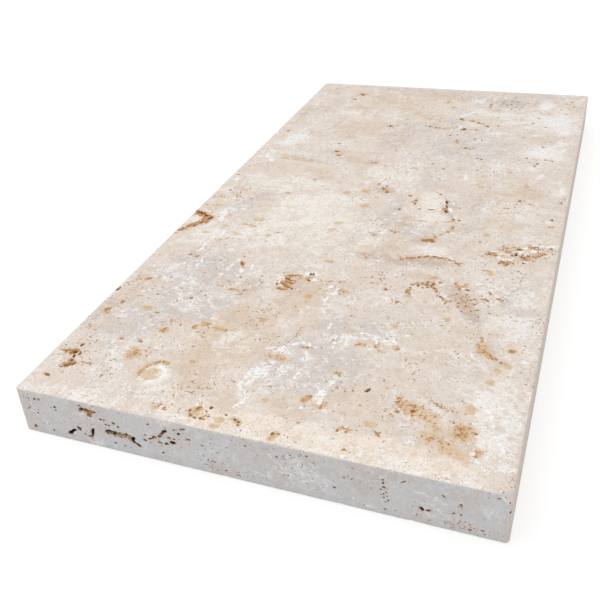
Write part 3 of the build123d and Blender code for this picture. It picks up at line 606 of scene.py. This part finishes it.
def under_stains(patches, trails):
    """A patch of closer points under each small stain, and along each trail."""
    found = []
    for across, along, long, wide, tilt, _ in patches:
        if wide < small_stain:
            middle = (across - half_width, along - half_length)
            spacing = max(wide / stain_steps, stain_step_least)
            found.append((middle, stain_reach * long, stain_reach * wide, tilt, spacing))
    for wide, _, course in trails:
        for a, b in legs(course):
            tilt = math.degrees(math.atan2(b[1] - a[1], b[0] - a[0]))
            middle = (a + b) / 2 - (half_width, half_length)
            found.append((middle, math.dist(a, b) / 2 + wide, 2 * wide, tilt, trail_step))
    return found


def triangles(border, inner):
    """Fills the flat shape inside the border, through the inner points, with triangles."""
    points = [Vector(p) for p in np.concatenate([border, inner])]
    made = geometry.delaunay_2d_cdt(points, [], [list(range(len(border)))], 1, hair, False)
    return np.array([tuple(p) for p in made[0]]), np.array(made[2])


leg_ends = np.cumsum([0] + [leg for leg, _, _ in rim_legs])
rim_marks = np.concatenate([
    np.linspace(start, end, max(round((end - start) / rim_step), bend_marks), endpoint=False)
    for start, end in zip(leg_ends[:-1], leg_ends[1:])] + [[rim_length]])
rim_plan, rim_outward = rim(rim_marks)

plan_corner = np.array((half_width, half_length))
top_patches = around_voids(top_voids, lambda x, y: (x - half_width, y - half_length), 1)
top_patches += under_stains(rust_patches + white_patches + gold_patches, rust_trails + white_trails)
top_patches.append(((half_width, -half_length), break_patch, break_patch, 0, break_step))
top_fine, top_taken = patch_points(top_patches)
top_inner = np.concatenate([top_fine, scattered(-plan_corner, plan_corner, top_step, top_taken)])
top_inset = rim_clear + top_arris
top_inner = top_inner[(np.abs(top_inner) < plan_corner - top_inset).all(1)]
blunt = np.maximum(np.abs(top_inner) - (straight_x, straight_y), 0)
top_inner = top_inner[np.hypot(*blunt.T) < corner_radius - top_inset]
top_flat, top_faces = triangles((rim_plan - top_arris * rim_outward)[:-1], top_inner)

bed_inner = scattered(bed_clear - plan_corner, plan_corner - bed_clear, bed_step, [])
bed_flat, bed_faces = triangles((rim_plan - bed_arris * rim_outward)[:-1], bed_inner)

near_middle = rim_length / 2
near_left, near_right = near_middle - half_width, near_middle + half_width
side_top, side_foot = top_bend, band_height - bed_bend
end_patches = around_voids(
    end_voids, lambda x, y: (near_middle + x - half_width, y - top_arris + top_bend), -1)
end_patches.append(((near_right, 0), break_patch, break_patch, 0, break_step))
end_fine, end_taken = patch_points(end_patches)
top_rows = np.linspace(0, top_bend, arris_marks)[1:]
bed_rows = band_height - np.linspace(0, bed_bend, arris_marks)[1:]
arris_rows = np.concatenate([top_rows, bed_rows])
arris_points = np.array([(mark, row) for row in arris_rows for mark in rim_marks[1:-1]])
coarse = scattered(
    (0, side_top + coarse_clear), (rim_length, side_foot - coarse_clear), side_step, end_taken)
coarse = coarse[(coarse[:, 0] < near_left) | (coarse[:, 0] > near_right)]
close = scattered(
    (near_left, side_top + close_clear), (near_right, side_foot - close_clear), end_step, end_taken)
off_arrises = (end_fine[:, 1] > side_top + fine_clear) & (end_fine[:, 1] < side_foot - fine_clear)
end_fine = end_fine[off_arrises]
seam_rows = np.concatenate([[0], np.sort(arris_rows), [band_height]])
band_border = np.concatenate([
    np.column_stack([rim_marks, np.zeros_like(rim_marks)]),
    np.column_stack([np.full(len(seam_rows) - 2, rim_length), seam_rows[1:-1]]),
    np.column_stack([rim_marks[::-1], np.full_like(rim_marks, band_height)]),
    np.column_stack([np.zeros(len(seam_rows) - 2), seam_rows[-2:0:-1]]),
])
band_flat, band_faces = triangles(band_border, np.concatenate([arris_points, end_fine, close, coarse]))

top_points = np.column_stack([top_flat, np.full(len(top_flat), thickness)])
bed_points = np.column_stack([bed_flat, np.zeros(len(bed_flat))])
band_points, band_outward = band(
    np.clip(band_flat[:, 0], 0, rim_length), np.clip(band_flat[:, 1], 0, band_height))
sawn = np.concatenate([top_points, band_points, bed_points])
facing = np.concatenate([
    np.tile((0, 0, 1.0), (len(top_points), 1)), band_outward, np.tile((0, 0, -1.0), (len(bed_points), 1))])
skin_faces = np.concatenate([
    top_faces,
    band_faces[:, ::-1] + len(top_points),
    bed_faces[:, ::-1] + len(top_points) + len(band_points),
])


# The hollows: each void sinks the skin behind a ragged mouth. Long voids of the top have a crumbled floor, and
# those of the near end are deeper under their roof than over their sill.
shallow_void = 1.6
void_wall = 3.0
mouth_waviness, widest_wave = 0.34, 2.0
void_sill = 0.28
crumbly_length = 6.0
# Near-end voids narrower than this are painted in shade from roof to sill.
dark_width = 2.0
# The void depth at which the painted shade inside a void is darkest.
deepest_tone = 3.2


def ripple(points, size, offset=0.0):
    """Smooth noise from -1 to 1 at each point, with bumps about size mm across."""
    return np.array([noise.noise(Vector(p) / size + Vector((offset, offset, offset))) for p in points])


broad_sway = np.column_stack([ripple(sawn, 2.2, k) for k in (3.1, 17.7, 41.3)])
fine_sway = np.column_stack([ripple(sawn, 0.9, k) for k in (5.9, 23.3, 57.1)])
sway = broad_sway + 0.5 * fine_sway
crumble = np.clip(0.62 + 1.3 * ripple(sawn, 2.0, 91.0), 0, 1)


def hollow(voids, middle, long_way, cross_way, inward, sill):
    """For one face's voids: each point's sinking, how far into a void and how high in it, the void's depth."""
    depth, share = np.zeros(len(sawn)), np.zeros(len(sawn))
    upper, reach = np.zeros(len(sawn)), np.zeros(len(sawn))
    face = np.flatnonzero(facing @ np.array(inward) < -0.1)
    place = np.column_stack([sawn[face] @ np.array(long_way), sawn[face] @ np.array(cross_way)])
    drift = np.column_stack([sway[face] @ np.array(long_way), sway[face] @ np.array(cross_way)])
    for across, along, long, wide, tilt, deep in voids:
        turn = math.radians(tilt)
        near_it = (np.abs(place - middle(across, along)) < long + widest_wave).all(1)
        here = face[near_it]
        wave = drift[near_it] * mouth_waviness * min(wide, widest_wave)
        flat = place[near_it] + wave - middle(across, along)
        u, v = turned(flat, tilt)
        spread = np.clip((u / long) ** 2 + (v / wide) ** 2, 0, 1)
        sink = np.sqrt(1 - spread ** (void_wall / 2))
        if sill < 1:
            sink *= sill + (1 - sill) * np.clip(0.75 + 0.8 * flat[:, 1] / wide, 0, 1)
        elif long > crumbly_length:
            sink *= crumble[here]
        share[here] = np.maximum(share[here], sink * min(1.0, 0.35 + deep / shallow_void))
        deeper = sink * deep > depth[here]
        here = here[deeper]
        depth[here] = (sink * deep)[deeper]
        half_height = math.hypot(long * math.sin(turn), wide * math.cos(turn))
        upper[here] = (flat[:, 1] / half_height)[deeper] + max(dark_width - wide, 0)
        reach[here] = deep
    return depth, share, upper, reach


top_depth, top_share, _, top_reach = hollow(
    top_voids, lambda x, y: np.array((x - half_width, y - half_length)),
    (1, 0, 0), (0, 1, 0), (0, 0, -1), 1.0)
end_depth, end_share, end_upper, end_reach = hollow(
    end_voids, lambda x, y: np.array((x - half_width, thickness - y)),
    (1, 0, 0), (0, 0, 1), (0, 1, 0), void_sill)

# Wear: the arrises have lost small flakes in the tumbling drum, more in some places than in others.
# The flakes leave the arris ragged and pale.
arris_nick = 0.7
arris_reach = 2.4
off_top = np.minimum(half_width - np.abs(sawn[:, 0]), half_length - np.abs(sawn[:, 1]))
to_arris = np.where(facing[:, 2] > 0.1, off_top, np.minimum(thickness - sawn[:, 2], sawn[:, 2]))
arris_worn = np.clip(1 - to_arris / arris_reach, 0, 1)
flakes = np.clip(ripple(sawn, 7.0, 71.0) + 0.6 * ripple(sawn, 2.4, 13.0) - 0.25, 0, 1)
worn = arris_nick * arris_worn * flakes
shaped = sawn - facing * worn[:, None]
shaped[:, 2] -= top_depth
shaped[:, 1] += end_depth

# The broken corner: the near right corner of the top, knocked off when the slab was handled. It is a rough,
# flat fracture through three points on the corner's edges, with a bruised, whitish border.
break_along_end, break_along_side, break_down = 7.2, 6.2, 6.7
break_roughness = 0.5
break_blend = 0.4
bruise_width = 0.45
end_point = np.array((half_width - break_along_end, -half_length, thickness))
side_point = np.array((half_width, -half_length + break_along_side, thickness))
corner_point = np.array((half_width, -half_length, thickness - break_down))
fracture = np.cross(corner_point - end_point, side_point - end_point)
fracture /= np.linalg.norm(fracture)
fracture *= np.sign(fracture[0])
proud = (shaped - end_point) @ fracture + break_roughness * ripple(sawn, 3.0, 29.0)
broken = np.clip(proud / break_blend, 0, 1)
shaped -= np.clip(proud, 0, None)[:, None] * fracture

# The layers: how strongly each stain, crystal or wear shows at each point of the skin, and how deep and how
# high in a void each point lies, which sets the painted shade inside the voids. The patches fade from their
# middle to their border, and the trails come and go along their course.
patch_reach, trail_reach = 1.35, 1.6
trail_sway = 1.2
waning = np.clip(0.9 + 0.9 * ripple(sawn, 5.0, 37.0), 0.3, 1.2)


def soft(patches, place):
    """The patches' strength at each place on a face, fading from the middle of each to its border."""
    strength = np.zeros(len(place))
    for across, along, long, wide, tilt, most in patches:
        u, v = turned(place - (across, along), tilt)
        fade = np.clip(patch_reach - np.hypot(u / long, v / wide), 0, 1)
        strength = np.maximum(strength, most * fade * fade * (3 - 2 * fade))
    return strength


def trail(trails, place):
    """The trails' strength at each place on a face, fading across each one's width and in places along it."""
    strength = np.zeros(len(place))
    for wide, most, course in trails:
        for a, b in legs(course):
            step = b - a
            share = np.clip((place - a) @ step / (step @ step), 0, 1)
            gap = np.hypot(*(place - a - share[:, None] * step).T)
            strength = np.maximum(strength, most * np.clip(trail_reach - gap / wide, 0, 1))
    return strength * waning


on_top, on_end = facing[:, 2] > 0.5, facing[:, 1] < -0.5
top_place = np.column_stack([sawn[:, 0] + half_width, sawn[:, 1] + half_length])
end_place = np.column_stack([sawn[:, 0] + half_width, thickness - sawn[:, 2]])
swayed = top_place + trail_sway * sway[:, :2]
break_border = np.exp(-(proud / bruise_width) ** 2) * on_end * (end_place[:, 1] > 1)
layers = {
    "white": np.maximum(soft(white_patches, top_place), trail(white_trails, swayed)) * on_top
             + np.maximum(soft(end_white, end_place), trail(end_wisps, end_place)) * on_end,
    "rust": np.maximum(soft(rust_patches, top_place), trail(rust_trails, swayed)) * on_top
            + soft(end_rust, end_place) * on_end,
    "gold": soft(gold_patches, top_place) * on_top + soft(end_gold, end_place) * on_end,
    "cream": soft(cream_patches, top_place) * on_top,
    "chalk": soft(chalk_patches, top_place) * on_top,
    "grey": soft(grey_patches, top_place) * on_top,
    "tan": soft(tan_patches, top_place) * on_top,
    "peach": soft(peach_patches, top_place) * on_top,
    "umber": soft(umber_patches, top_place) * on_top,
    "hollow": np.maximum(top_share, end_share),
    "roof": np.where(end_share > 0, np.clip(0.5 + 0.5 * end_upper, 0, 1), 1.0),
    "deep": np.clip(np.maximum(end_reach, top_reach) / deepest_tone, 0, 1),
    "broken": broken,
    "bruise": np.maximum(arris_worn * np.clip(flakes * 1.6, 0, 1), break_border),
    "flank": np.clip(1.6 * np.abs(facing[:, 0]) - 0.4, 0, 1),
}

mesh = bpy.data.meshes.new("coping_stone")
mesh.from_pydata((shaped * MM).tolist(), [], skin_faces.tolist())
for name, values in layers.items():
    mesh.attributes.new(name, "FLOAT", "POINT").data.foreach_set("value", values.astype(np.float32))
top_count, band_count = len(top_faces), len(band_faces)
on_band = slice(top_count, top_count + band_count)
on_bed = slice(top_count + band_count, None)
finish = np.zeros(len(skin_faces), np.int32)
finish[on_band] = band_flat[band_faces, 1].mean(1) > top_bend * 0.5
finish[on_bed] = 1
mesh.polygons.foreach_set("material_index", finish)

# The bake's map: the top and the bed lie side by side, and the sides in three strips beside them.
# All of it is at one scale, so that the stone's grain is baked equally fine everywhere.
map_scale = 0.8 / length
map_share, map_margin = 0.98, 0.005
bed_start, strip_start, strip_foot = 0.41, 0.83, 0.01
strips, strip_gap = 3, 0.055
strip_length = rim_length / strips
uv = np.zeros((len(skin_faces), 3, 2))
top_uv = (top_flat + plan_corner) * map_scale
bed_uv = (bed_flat * (-1, 1) + plan_corner) * map_scale + (bed_start, 0)
uv[:top_count] = top_uv[top_faces]
band_corners = band_flat[band_faces[:, ::-1]]
strip = np.minimum(band_corners[:, :, 0].mean(1) // strip_length, strips - 1)
strip_run = band_corners[:, :, 0] - (strip * strip_length)[:, None]
uv[on_band, :, 0] = strip_start + strip[:, None] * strip_gap + band_corners[:, :, 1] * map_scale
uv[on_band, :, 1] = strip_foot + strip_run * map_scale
uv[on_bed] = bed_uv[bed_faces[:, ::-1]]
stone_map = mesh.uv_layers.new(name="OFBake").uv
stone_map.foreach_set("vector", (uv * map_share + map_margin).astype(np.float32).ravel())

weld, sliver = 0.004, 0.002
crease = math.radians(50)
shell = bmesh.new()
shell.from_mesh(mesh)
bmesh.ops.remove_doubles(shell, verts=shell.verts, dist=weld * MM)
bmesh.ops.dissolve_degenerate(shell, dist=sliver * MM, edges=shell.edges)
bmesh.ops.triangulate(shell, faces=[f for f in shell.faces if len(f.verts) > 3])
bmesh.ops.recalc_face_normals(shell, faces=shell.faces)
shell.to_mesh(mesh)
shell.free()
mesh.shade_smooth()
mesh.set_sharp_from_angle(angle=crease)
stone = bpy.data.objects.new("coping_stone", mesh)
bpy.context.scene.collection.objects.link(stone)

# The stone's finish: beige calcite with cloudy grain. White crystals, brown iron stains and open pores are
# effects that the worn top and the sawn sides share, so each is a group of its own.
grain_spread = 2.6


def part(tree, kind, inputs=None, **settings):
    """A node of the kind, with its settings, and its inputs set to a value or joined to an output."""
    made = tree.nodes.new("ShaderNode" + kind)
    for name, value in settings.items():
        setattr(made, name, value)
    for socket, value in (inputs or {}).items():
        if isinstance(value, bpy.types.NodeSocket):
            tree.links.new(value, made.inputs[socket])
        else:
            made.inputs[socket].default_value = value
    return made


def sums(tree, operation, a, b):
    """The output of one sum on two values."""
    return part(tree, "Math", {0: a, 1: b}, operation=operation).outputs[0]


def step_up(tree, value, low, high, bottom=0.0, top=1.0):
    """A value that climbs smoothly from bottom to top as the input climbs from low to high."""
    inputs = {"Value": value, "From Min": low, "From Max": high, "To Min": bottom, "To Max": top}
    return part(tree, "MapRange", inputs, interpolation_type="SMOOTHSTEP").outputs["Result"]


def cover(tree, mask, under, over):
    """The under colour, with the over colour laid on it where the mask is."""
    return part(tree, "Mix", {0: mask, 6: under, 7: over}, data_type="RGBA").outputs[2]


def veil(tree, mask, share, under, over):
    """The under colour, with a thin veil of the over colour, of this share, laid on it where the mask is."""
    return cover(tree, sums(tree, "MULTIPLY", mask, share), under, over)


def attribute(tree, name):
    """One of the stone's layers."""
    return part(tree, "Attribute", attribute_name=name).outputs["Fac"]


def millimetres(tree):
    """The place on the stone, in millimetres."""
    place = part(tree, "TexCoord").outputs["Object"]
    return part(tree, "VectorMath", {0: place, "Scale": 1 / MM}, operation="SCALE").outputs[0]


def grain(tree, place, size, detail, roughness, distortion):
    """Noise with features about size mm across, from about 0 to 1 with its middle at 0.5."""
    inputs = {"Vector": place, "Scale": 1 / size, "Detail": detail, "Roughness": roughness}
    raw = part(tree, "TexNoise", {**inputs, "Distortion": distortion}).outputs["Fac"]
    middle = 0.5 - 0.5 * grain_spread
    return part(tree, "Math", {0: raw, 1: grain_spread, 2: middle}, operation="MULTIPLY_ADD").outputs[0]


def crest(tree, value):
    """How far a grain lies from its middle: nothing along the lines where it crosses it."""
    return sums(tree, "ABSOLUTE", sums(tree, "SUBTRACT", value, 0.5), 0.0)


def mixed(tree, *weighted):
    """The sum of several values, each given with its weight."""
    total = 0.0
    for value, weight in weighted:
        total = part(tree, "Math", {0: value, 1: weight, 2: total}, operation="MULTIPLY_ADD").outputs[0]
    return total


def effect(name, inputs, outputs):
    """An empty node group with named values in and out, and its two end nodes."""
    group = bpy.data.node_groups.new(name, "ShaderNodeTree")
    for socket, start in inputs.items():
        made = group.interface.new_socket(socket, in_out="INPUT", socket_type="NodeSocketFloat")
        made.default_value = start
    for socket in outputs:
        group.interface.new_socket(socket, in_out="OUTPUT", socket_type="NodeSocketFloat")
    return group, group.nodes.new("NodeGroupInput"), group.nodes.new("NodeGroupOutput")


def use(tree, group, inputs):
    """The outputs of the group, placed in a material."""
    return part(tree, "Group", inputs, node_tree=group).outputs


cloudy, _, out = effect("cloudy_grain", {}, ["Cloud", "Blotch", "Mottle", "Speckle", "Thread"])
place = millimetres(cloudy)
cloudy.links.new(grain(cloudy, place, 26.0, 4.0, 0.6, 0.6), out.inputs["Cloud"])
cloudy.links.new(grain(cloudy, place, 11.0, 4.0, 0.62, 0.8), out.inputs["Blotch"])
cloudy.links.new(grain(cloudy, place, 5.0, 6.0, 0.68, 0.8), out.inputs["Mottle"])
cloudy.links.new(grain(cloudy, place, 1.9, 3.0, 0.7, 0.3), out.inputs["Speckle"])
thread = crest(cloudy, grain(cloudy, place, 7.0, 4.0, 0.6, 1.4))
cloudy.links.new(step_up(cloudy, thread, 0.0, 0.10, 1.0, 0.0), out.inputs["Thread"])

crystals, given, out = effect("white_crystals", {"Amount": 0.0}, ["White", "Frost"])
place = millimetres(crystals)
amount = given.outputs["Amount"]
dab_grain = grain(crystals, place, 3.2, 3.0, 0.55, 1.0)
vein_grain = grain(crystals, place, 8.0, 3.0, 0.55, 1.6)
dab = mixed(crystals, (dab_grain, 1.0), (amount, 0.36))
vein = mixed(crystals, (crest(crystals, vein_grain), 1.0), (dab_grain, 0.06), (amount, -0.10))
white = sums(crystals, "MAXIMUM", step_up(crystals, dab, 0.95, 1.03), step_up(crystals, vein, 0.01, -0.015))
crystals.links.new(white, out.inputs["White"])
frost = mixed(crystals, (vein_grain, 0.6), (amount, 0.6))
crystals.links.new(step_up(crystals, frost, 0.55, 1.2), out.inputs["Frost"])

iron, given, out = effect("iron_stain", {"Amount": 0.0}, ["Stain", "Speck", "Pore"])
place = millimetres(iron)
amount = given.outputs["Amount"]
coarse_grain = grain(iron, place, 5.0, 5.0, 0.7, 1.0)
fine_grain = grain(iron, place, 1.5, 4.0, 0.65, 0.5)
pore_grain = grain(iron, place, 2.0, 1.0, 0.5, 0.6)
drift_grain = grain(iron, place, 22.0, 2.0, 0.5, 0.5)
stain = mixed(iron, (coarse_grain, 0.5), (fine_grain, 0.5), (amount, 0.42))
speck = mixed(iron, (fine_grain, 1.0), (coarse_grain, 0.3), (amount, 0.45))
pore = mixed(iron, (pore_grain, 1.0), (coarse_grain, 0.35), (drift_grain, 0.5), (amount, 0.42))
iron.links.new(step_up(iron, stain, 0.67, 0.98), out.inputs["Stain"])
iron.links.new(step_up(iron, speck, 1.06, 1.2), out.inputs["Speck"])
iron.links.new(step_up(iron, pore, 1.48, 1.58), out.inputs["Pore"])


def patchy(tree, layer, clouds, cloud_weight, mottle_weight, low, high):
    """A layer of the stone with its borders frayed by the cloudy grain."""
    grains = (clouds["Cloud"], cloud_weight), (clouds["Mottle"], mottle_weight)
    middle = 0.5 * (cloud_weight + mottle_weight)
    return step_up(tree, mixed(tree, (attribute(tree, layer), 1.0), *grains), low + middle, high + middle)


def fresh_material(name):
    """A new material and its empty node tree."""
    made = bpy.data.materials.new(name)
    made.use_nodes = True
    made.node_tree.nodes.clear()
    return made, made.node_tree


def finish_stone(tree, colour, clouds, stains, roughness, gloss):
    """Gives the material its shader: dull stone with a fine relief, and no gloss inside the voids."""
    relief = mixed(tree, (clouds["Mottle"], 0.25), (stains["Pore"], -0.8))
    bump = part(tree, "Bump", {"Height": relief, "Strength": 0.35, "Distance": 0.6 * MM})
    surface = part(tree, "BsdfPrincipled", {
        "Base Color": colour,
        "Roughness": roughness,
        "Specular IOR Level": step_up(tree, attribute(tree, "hollow"), 0.0, 0.4, gloss, 0.0),
        "Normal": bump.outputs[0],
    })
    tree.links.new(surface.outputs[0], part(tree, "OutputMaterial").inputs["Surface"])


# The worn top: beige stone, greyer, browner or creamier in places, with gold and brown iron stains and white
# crystals. Its voids are golden where they are shallow; deeper in, painted shade darkens them to dark brown and
# near black.
beige = (0.760, 0.670, 0.595, 1)
lilac_grey = (0.640, 0.585, 0.560, 1)
umber = (0.575, 0.462, 0.368, 1)
tan = (0.710, 0.582, 0.462, 1)
cream = (0.868, 0.816, 0.735, 1)
peach = (0.885, 0.765, 0.640, 1)
chalk = (0.868, 0.848, 0.826, 1)
pale_gold = (0.725, 0.572, 0.402, 1)
honey = (0.600, 0.410, 0.245, 1)
rust_haze = (0.665, 0.442, 0.256, 1)
rust_tan = (0.500, 0.255, 0.100, 1)
# Dark brown for deeper voids: partly iron stain, partly painted shade.
dark_rust_and_shade = (0.230, 0.098, 0.036, 1)
rust_spot = (0.395, 0.188, 0.076, 1)
calcite = (0.935, 0.940, 0.945, 1)
frost_white = (0.800, 0.805, 0.820, 1)
# void_shadow: painted shade, near black, for the deepest voids.
void_shadow = (0.030, 0.017, 0.011, 1)
fracture_grey = (0.700, 0.655, 0.610, 1)
worn_top, tree = fresh_material("travertine_worn_top")
clouds = use(tree, cloudy, {})
colour = cover(tree, patchy(tree, "grey", clouds, 0.8, 0.5, 0.0, 0.75), beige, lilac_grey)
colour = cover(tree, patchy(tree, "tan", clouds, -0.6, 0.7, 0.05, 0.9), colour, tan)
colour = cover(tree, patchy(tree, "umber", clouds, 0.5, 0.7, 0.05, 0.9), colour, umber)
colour = cover(tree, patchy(tree, "cream", clouds, 1.0, 0.9, 0.12, 0.85), colour, cream)
colour = cover(tree, patchy(tree, "peach", clouds, 0.5, 0.6, 0.1, 0.85), colour, peach)
colour = veil(tree, step_up(tree, clouds["Blotch"], 0.5, 0.9), 0.38, colour, cream)
colour = veil(tree, step_up(tree, clouds["Blotch"], 0.5, 0.1), 0.32, colour, umber)
fleck = mixed(
    tree, (clouds["Speckle"], 1.0), (clouds["Mottle"], 0.8), (clouds["Cloud"], 0.6),
    (attribute(tree, "tan"), -0.25))
colour = veil(tree, step_up(tree, fleck, 1.28, 1.68), 0.76, colour, calcite)
colour = veil(tree, step_up(tree, clouds["Speckle"], 0.45, 0.05), 0.6, colour, umber)
colour = veil(tree, clouds["Thread"], 0.18, colour, calcite)
colour = veil(tree, patchy(tree, "chalk", clouds, 0.7, 1.5, 0.2, 0.75), 0.75, colour, chalk)
gold = mixed(tree, (attribute(tree, "gold"), 0.8), (clouds["Mottle"], 0.8), (clouds["Speckle"], -0.5))
gilt = cover(tree, step_up(tree, gold, 0.65, 1.3), pale_gold, honey)
colour = veil(tree, patchy(tree, "gold", clouds, 0.3, 1.0, 0.34, 0.64), 0.95, colour, gilt)
rust_amount = mixed(tree, (attribute(tree, "rust"), 1.0), (attribute(tree, "cream"), -0.25))
stains = use(tree, iron, {"Amount": rust_amount})
whites = use(tree, crystals, {"Amount": attribute(tree, "white")})
colour = veil(tree, step_up(tree, stains["Stain"], 0.0, 0.4), 0.85, colour, rust_haze)
colour = veil(tree, step_up(tree, stains["Stain"], 0.45, 0.85), 0.7, colour, rust_tan)
colour = veil(tree, stains["Speck"], 0.75, colour, rust_spot)
colour = veil(tree, whites["Frost"], 0.3, colour, frost_white)
colour = veil(tree, whites["White"], 0.92, colour, calcite)
colour = veil(tree, stains["Pore"], 0.8, colour, rust_spot)
deep = attribute(tree, "deep")
sunk = mixed(tree, (attribute(tree, "hollow"), 1.0), (clouds["Speckle"], 0.5))
in_shadow = mixed(tree, (sunk, 1.0), (deep, 0.5))
lining = cover(tree, step_up(tree, deep, 0.06, 0.34), rust_haze, rust_tan)
colour = cover(tree, step_up(tree, sunk, 0.32, 0.56), colour, lining)
# Painted shade: the deeper the void, the darker its lining, dark brown and then near black at the deepest.
colour = veil(tree, step_up(tree, sunk, 0.75, 1.15), step_up(tree, deep, 0.2, 0.6), colour, dark_rust_and_shade)
colour = veil(tree, step_up(tree, in_shadow, 1.0, 1.25), step_up(tree, deep, 0.6, 0.85), colour, void_shadow)
colour = cover(tree, attribute(tree, "broken"), colour, fracture_grey)
finish_stone(tree, colour, clouds, stains, roughness=0.72, gloss=0.25)

# The sawn sides: grey stone, its cool, darker grey partly painted shade of sides that stand out of the overhead
# light, hazed with pale saw dust, with fine white wisps and brown pits. The long sides are more beige. Inside a
# void, painted shade makes it dark under its roof, and painted light makes its sill tan.
# A cool grey, darker than the top's beige: partly sawn stone, partly painted shade.
sawn_grey_and_shade = (0.606, 0.598, 0.600, 1)
sawn_warm = (0.585, 0.540, 0.510, 1)
sawn_pale = (0.770, 0.775, 0.785, 1)
flank_beige = (0.675, 0.580, 0.500, 1)
pit_brown = (0.365, 0.190, 0.092, 1)
# Tan for the sill of a near-end void: painted light where the sill faces the overhead light.
lit_sill_tan = (0.690, 0.490, 0.310, 1)
sawn_side, tree = fresh_material("travertine_sawn_side")
clouds = use(tree, cloudy, {})
colour = cover(tree, step_up(tree, clouds["Cloud"], 0.15, 0.95), sawn_grey_and_shade, sawn_warm)
colour = cover(tree, attribute(tree, "flank"), colour, flank_beige)
haze = mixed(tree, (clouds["Mottle"], 1.0), (attribute(tree, "white"), 0.4))
colour = veil(tree, step_up(tree, haze, 0.5, 1.05), 0.44, colour, sawn_pale)
colour = veil(tree, clouds["Thread"], 0.42, colour, sawn_pale)
colour = veil(tree, patchy(tree, "gold", clouds, 0.2, 0.8, 0.25, 0.65), 0.5, colour, cream)
stains = use(tree, iron, {"Amount": mixed(tree, (attribute(tree, "rust"), 1.0), (1.0, -0.25))})
whites = use(tree, crystals, {"Amount": attribute(tree, "white")})
colour = veil(tree, step_up(tree, stains["Stain"], 0.1, 0.8), 0.5, colour, rust_haze)
colour = veil(tree, whites["White"], 0.42, colour, calcite)
colour = veil(tree, stains["Pore"], 0.85, colour, pit_brown)
colour = cover(tree, attribute(tree, "broken"), colour, fracture_grey)
colour = veil(tree, step_up(tree, attribute(tree, "bruise"), 0.3, 0.9), 0.6, colour, calcite)
# Painted shade and light inside the voids: dark brown to near black under the roof and in the deepest, tan on
# the lit sill.
roof = mixed(tree, (attribute(tree, "roof"), 1.0), (clouds["Speckle"], 0.35))
lining = cover(tree, step_up(tree, attribute(tree, "deep"), 0.45, 0.95), pit_brown, void_shadow)
lining = cover(tree, step_up(tree, roof, 0.58, 0.36), lining, lit_sill_tan)
colour = cover(tree, step_up(tree, attribute(tree, "hollow"), 0.06, 0.24), colour, lining)
finish_stone(tree, colour, clouds, stains, roughness=0.78, gloss=0.2)

stone.data.materials.append(worn_top)
stone.data.materials.append(sawn_side)
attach(stone, "root")
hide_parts("coping_slab")

# The floor: a plain white studio ground that the slab lies on. It shows white to the camera and keeps the
# soft shadow along the slab's foot.
floor_size = 12.0
floor_white, floor_seen, floor_lift = 0.86, 0.36, 0.7
white_light = (1, 1, 1, 1)


def seen_by_camera(tree):
    """Whether a ray shows the surface to the camera, straight, in a gloss or through something clear."""
    path = part(tree, "LightPath").outputs
    not_straight = sums(tree, "MAXIMUM", path["Is Glossy Ray"], path["Is Transmission Ray"])
    return sums(tree, "MAXIMUM", path["Is Camera Ray"], not_straight)


floor_mesh = bpy.data.meshes.new("studio_floor")
reach = floor_size / 2
floor_corners = [(-reach, -reach, 0), (reach, -reach, 0), (reach, reach, 0), (-reach, reach, 0)]
floor_mesh.from_pydata(floor_corners, [], [(0, 1, 2, 3)])
floor = bpy.data.objects.new("studio_floor", floor_mesh)
bpy.context.scene.collection.objects.link(floor)
ground, tree = fresh_material("studio_ground")
seen = seen_by_camera(tree)
paper = part(tree, "BsdfDiffuse", {"Color": step_up(tree, seen, 0, 1, floor_white, floor_seen)})
lift = part(tree, "Emission", {"Color": white_light, "Strength": sums(tree, "MULTIPLY", seen, floor_lift)})
both = part(tree, "AddShader", {0: paper.outputs[0], 1: lift.outputs[0]})
tree.links.new(both.outputs[0], part(tree, "OutputMaterial").inputs["Surface"])
floor.data.materials.append(ground)

# The light: a white tent of cloth all round, with one broad softbox above the slab's left side.
# The tent gives most of the light, so that the shadow stays soft and faint.
tent_light, tent_seen = 0.78, 1.0
world = bpy.data.worlds.new("white_tent")
bpy.context.scene.world = world
world.use_nodes = True
tree = world.node_tree
tree.nodes.clear()
tent_strength = step_up(tree, seen_by_camera(tree), 0, 1, tent_light, tent_seen)
tent = part(tree, "Background", {"Color": white_light, "Strength": tent_strength})
tree.links.new(tent.outputs[0], part(tree, "OutputWorld").inputs["Surface"])

lamp = bpy.data.lights.new("overhead_softbox", "AREA")
lamp.shape = "RECTANGLE"
lamp.size, lamp.size_y = 2.2, 1.6
lamp.energy = 13.0
softbox = bpy.data.objects.new("overhead_softbox", lamp)
softbox.location = (-0.7, -0.4, 1.9)
softbox.rotation_euler = (-softbox.location).to_track_quat("-Z", "Y").to_euler()
bpy.context.scene.collection.objects.link(softbox)

# The camera: held above the near end and a little to the right of the slab, turned slightly off level.
# Its lens is given in pixels of the square picture that it takes.
eye = Vector((169.98, -601.52, 342.21)) * MM
aim = Vector((-40.59, -116.29, 35.0)) * MM
roll = math.radians(4.6924)
focal_pixels, frame_pixels = 798.18, 600
camera_data = bpy.data.cameras.new("camera")
camera_data.sensor_width = 36.0
camera_data.lens = camera_data.sensor_width * focal_pixels / frame_pixels
camera_data.shift_x, camera_data.shift_y = 0.02, -0.0633
camera = bpy.data.objects.new("camera", camera_data)
looking = (aim - eye).to_track_quat("-Z", "Y").to_matrix().to_4x4()
camera.matrix_world = Matrix.Translation(eye) @ looking @ Matrix.Rotation(-roll, 4, "Z")
bpy.context.scene.collection.objects.link(camera)
bpy.context.scene.camera = camera
bpy.context.scene.view_settings.view_transform = "Standard"
